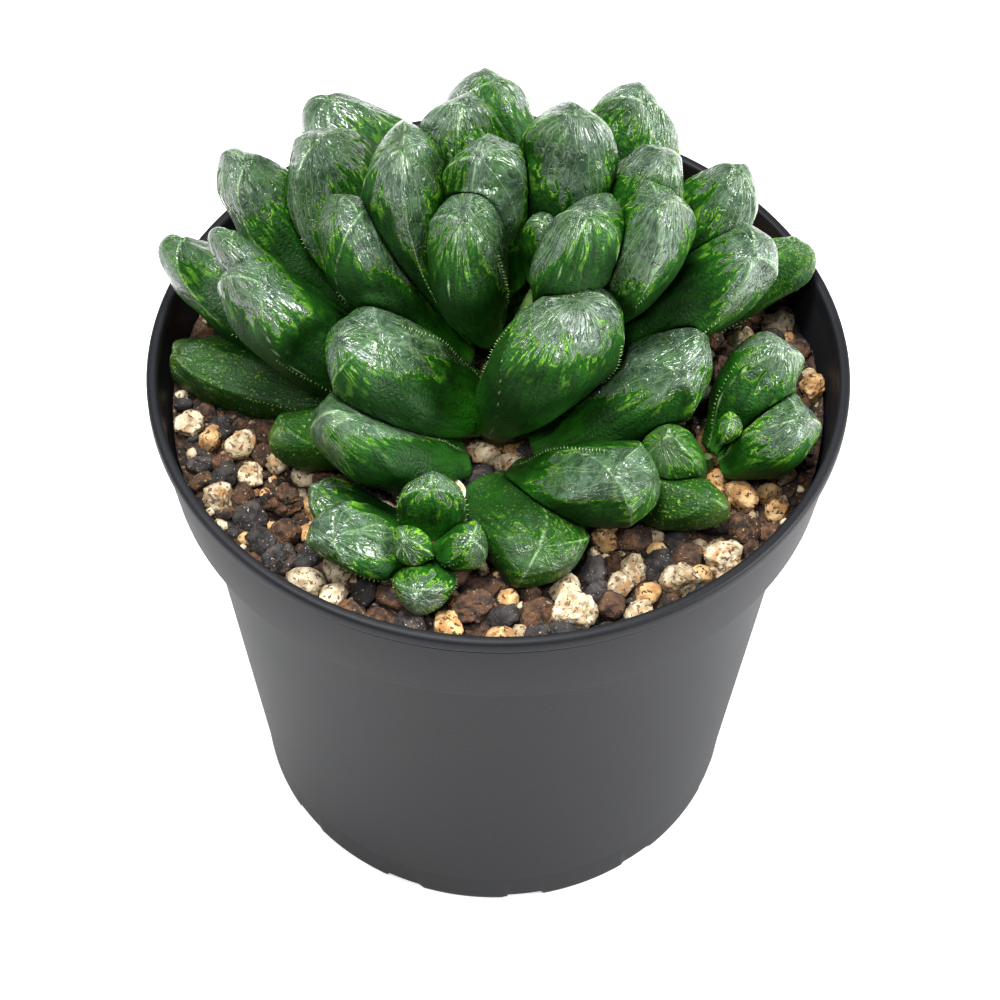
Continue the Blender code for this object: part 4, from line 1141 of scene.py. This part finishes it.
def stemSkin():
    # Young stem and leaf bases: pale green, matt, with a brown dry tinge near the soil
    look = stemLook
    material, shader, add = newMaterial("young_stem_skin", {
        "Roughness": 0.6, "Subsurface Weight": 0.1, "Subsurface Radius": (0.8, 1.0, 0.4),
        "Subsurface Scale": 1.0 * mm})
    coords = add("objectPlace")
    cloud = add("step", add("noise", coords, perSize(2.5), 4), 0.35, 0.7)
    colour = add("mix", cloud, linear(look["dark"]), linear(look["pale"]))
    brown = add("step", add("split", coords)["Z"], look["dryFrom"] * mm, look["dryFull"] * mm)
    setInputs(shader, {
        "Base Color": add("mix", brown, colour, linear(look["dry"])),
        "Normal": add("bump", add("noise", coords, perSize(1.0), 3), 0.3 * mm, 0.7)})
    return material


def dryTissue():
    # Dead leaf base, dried to paper: straw to off-white, matt, thin enough to let light through
    material, shader, add = newMaterial("dry_leaf_tissue", {
        "Roughness": 0.75, "Subsurface Weight": 0.3, "Subsurface Radius": (1.0, 0.8, 0.6),
        "Subsurface Scale": 0.8 * mm})
    coords = add("objectPlace")
    cloud = add("step", add("noise", coords, perSize(1.5), 4), 0.3, 0.7)
    setInputs(shader, {
        "Base Color": add("mix", cloud, linear(dryLook["straw"]), linear(dryLook["pale"])),
        "Normal": add("bump", add("noise", coords, perSize(0.6), 3), 0.2 * mm, 0.8)})
    return material


def makeStems():
    # The stems' solids stay as they are and take the skin as their material
    skin = stemSkin()
    for name in ("stem", "right_offset_stem", "left_offset_stem"):
        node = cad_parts[name]
        node.data.materials.clear()
        node.data.materials.append(skin)
    print("stems dressed")


def makeDryBase():
    # A cupped scale: a pointed oval, bent up at its sides and its tip, given a thin wall
    low, high = (np.array(corner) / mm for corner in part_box("dry_leaf_base"))
    u = np.linspace(0, 1, dryLook["rows"])[:, None]
    v = np.linspace(-1, 1, dryLook["cols"])[None, :]
    span = high - low
    width = np.sin(math.pi * np.clip(u * 0.92 + 0.06, 0, 1)) ** 0.7
    x = low[0] + span[0] * (0.5 + 0.46 * v * width)
    y = high[1] - span[1] * (u * 0.96 + 0.02) + 0 * v
    curl = dryLook["sideCurl"] * v ** 2 * width + dryLook["tipCurl"] * (1 - u) ** 2
    z = low[2] + span[2] * np.clip(0.12 + curl + 0.05 * np.sin(9 * u + 4 * v), 0, 0.95)
    top = np.stack([x, y, z], -1)
    under = top - np.array([0, 0, dryLook["wall"]])
    rows, cols = top.shape[:2]
    points = np.concatenate([top.reshape(-1, 3), under.reshape(-1, 3)])
    here = (np.arange(rows - 1)[:, None] * cols + np.arange(cols - 1)[None, :]).ravel()
    sheet = np.stack([here, here + cols, here + cols + 1, here + 1], -1)
    count = rows * cols
    rim = np.concatenate([np.arange(cols), np.arange(1, rows) * cols + cols - 1,
                          (rows - 1) * cols + np.arange(cols - 2, -1, -1), np.arange(rows - 2, 0, -1) * cols])
    after = np.roll(rim, -1)
    walls = np.stack([rim, after, after + count, rim + count], -1)
    quads = np.concatenate([sheet, sheet[:, ::-1] + count, walls])
    piece = makeMesh("papery_leaf_base", points, quads, np.zeros((0, 3), int), [dryTissue()])
    finishPiece(piece, "dry_leaf", "dry_leaf_base")
    print("dry leaf base made")


# ---- stage, light and camera ----

# Each light: its place in metres, its power in watts and its width
stageLook = {
    "floor": "#d6d6d6", "floorHalf": 3.0, "glow": 0.92, "sky": 0.10, "skyColour": "#fbfcff",
    "aim": (0, 0, 0.09), "lights": {
        "key_softbox": ((-0.10, 0.10, 0.79), 10.5, 0.24),
        "right_softbox": ((0.62, -0.10, 0.34), 10.5, 0.40),
        "front_softbox": ((-0.12, -0.36, 0.74), 3.2, 0.15),
        "left_softbox": ((-0.62, -0.10, 0.34), 1.6, 0.40),
    },
}


def makeStage():
    # A flat square floor and four square area lights, each turned to the aim
    size = stageLook["floorHalf"]
    mesh = bpy.data.meshes.new("studio_floor")
    corners = [(x * size, y * size, 0) for x, y in ((-1, -1), (1, -1), (1, 1), (-1, 1))]
    mesh.from_pydata(corners, [], [(0, 1, 2, 3)])
    # White seamless paper, lit so evenly that it glows: matt, and pale right up to the object
    paper = linear(stageLook["floor"])
    mesh.materials.append(newMaterial("white_studio_paper", {
        "Base Color": paper, "Roughness": 0.9, "Emission Color": paper,
        "Emission Strength": stageLook["glow"]})[0])
    addObject("studio_floor", mesh)
    world = bpy.data.worlds.new("studio_light")
    world.use_nodes = True
    setInputs(world.node_tree.nodes["Background"], {
        "Color": linear(stageLook["skyColour"]), "Strength": stageLook["sky"]})
    bpy.context.scene.world = world
    bpy.context.scene.view_settings.view_transform = "Standard"
    aim = Vector(stageLook["aim"])
    for name, (place, power, width) in stageLook["lights"].items():
        lamp = bpy.data.lights.new(name, "AREA")
        lamp.shape, lamp.size, lamp.energy = "SQUARE", width, power
        holder = addObject(name, lamp)
        holder.location = place
        holder.rotation_euler = (aim - Vector(place)).to_track_quat("-Z", "Y").to_euler()
    print("stage set:", len(stageLook["lights"]), "lights")


# Lens and sensor in millimetres, as are the aim and the distance; elevation and roll in degrees
view = {"lens": 108.0, "sensor": 36.0, "aim": (0.48, 0.0, 54.94), "distance": 451.5,
        "elevation": 51.44, "roll": 0.82}


def makeCamera():
    # In front of the aim, raised by the elevation, looking back at it
    lens = bpy.data.cameras.new("camera")
    lens.lens, lens.sensor_width = view["lens"], view["sensor"]
    lens.clip_start, lens.clip_end = 0.01, 20
    camera = addObject("camera", lens)
    rise = math.radians(view["elevation"])
    back = Vector((0, -math.cos(rise), math.sin(rise)))
    camera.location = (Vector(view["aim"]) + back * view["distance"]) * mm
    camera.rotation_euler = (-back).to_track_quat("-Z", "Y").to_euler()
    camera.rotation_euler.rotate_axis("Z", math.radians(view["roll"]))
    bpy.context.scene.camera = camera


makeCamera()
makeStage()
makePot()
makeSoil()
plantLeaves = makePlant()
makeStems()
makeDryBase()
makeGrit(plantLeaves)
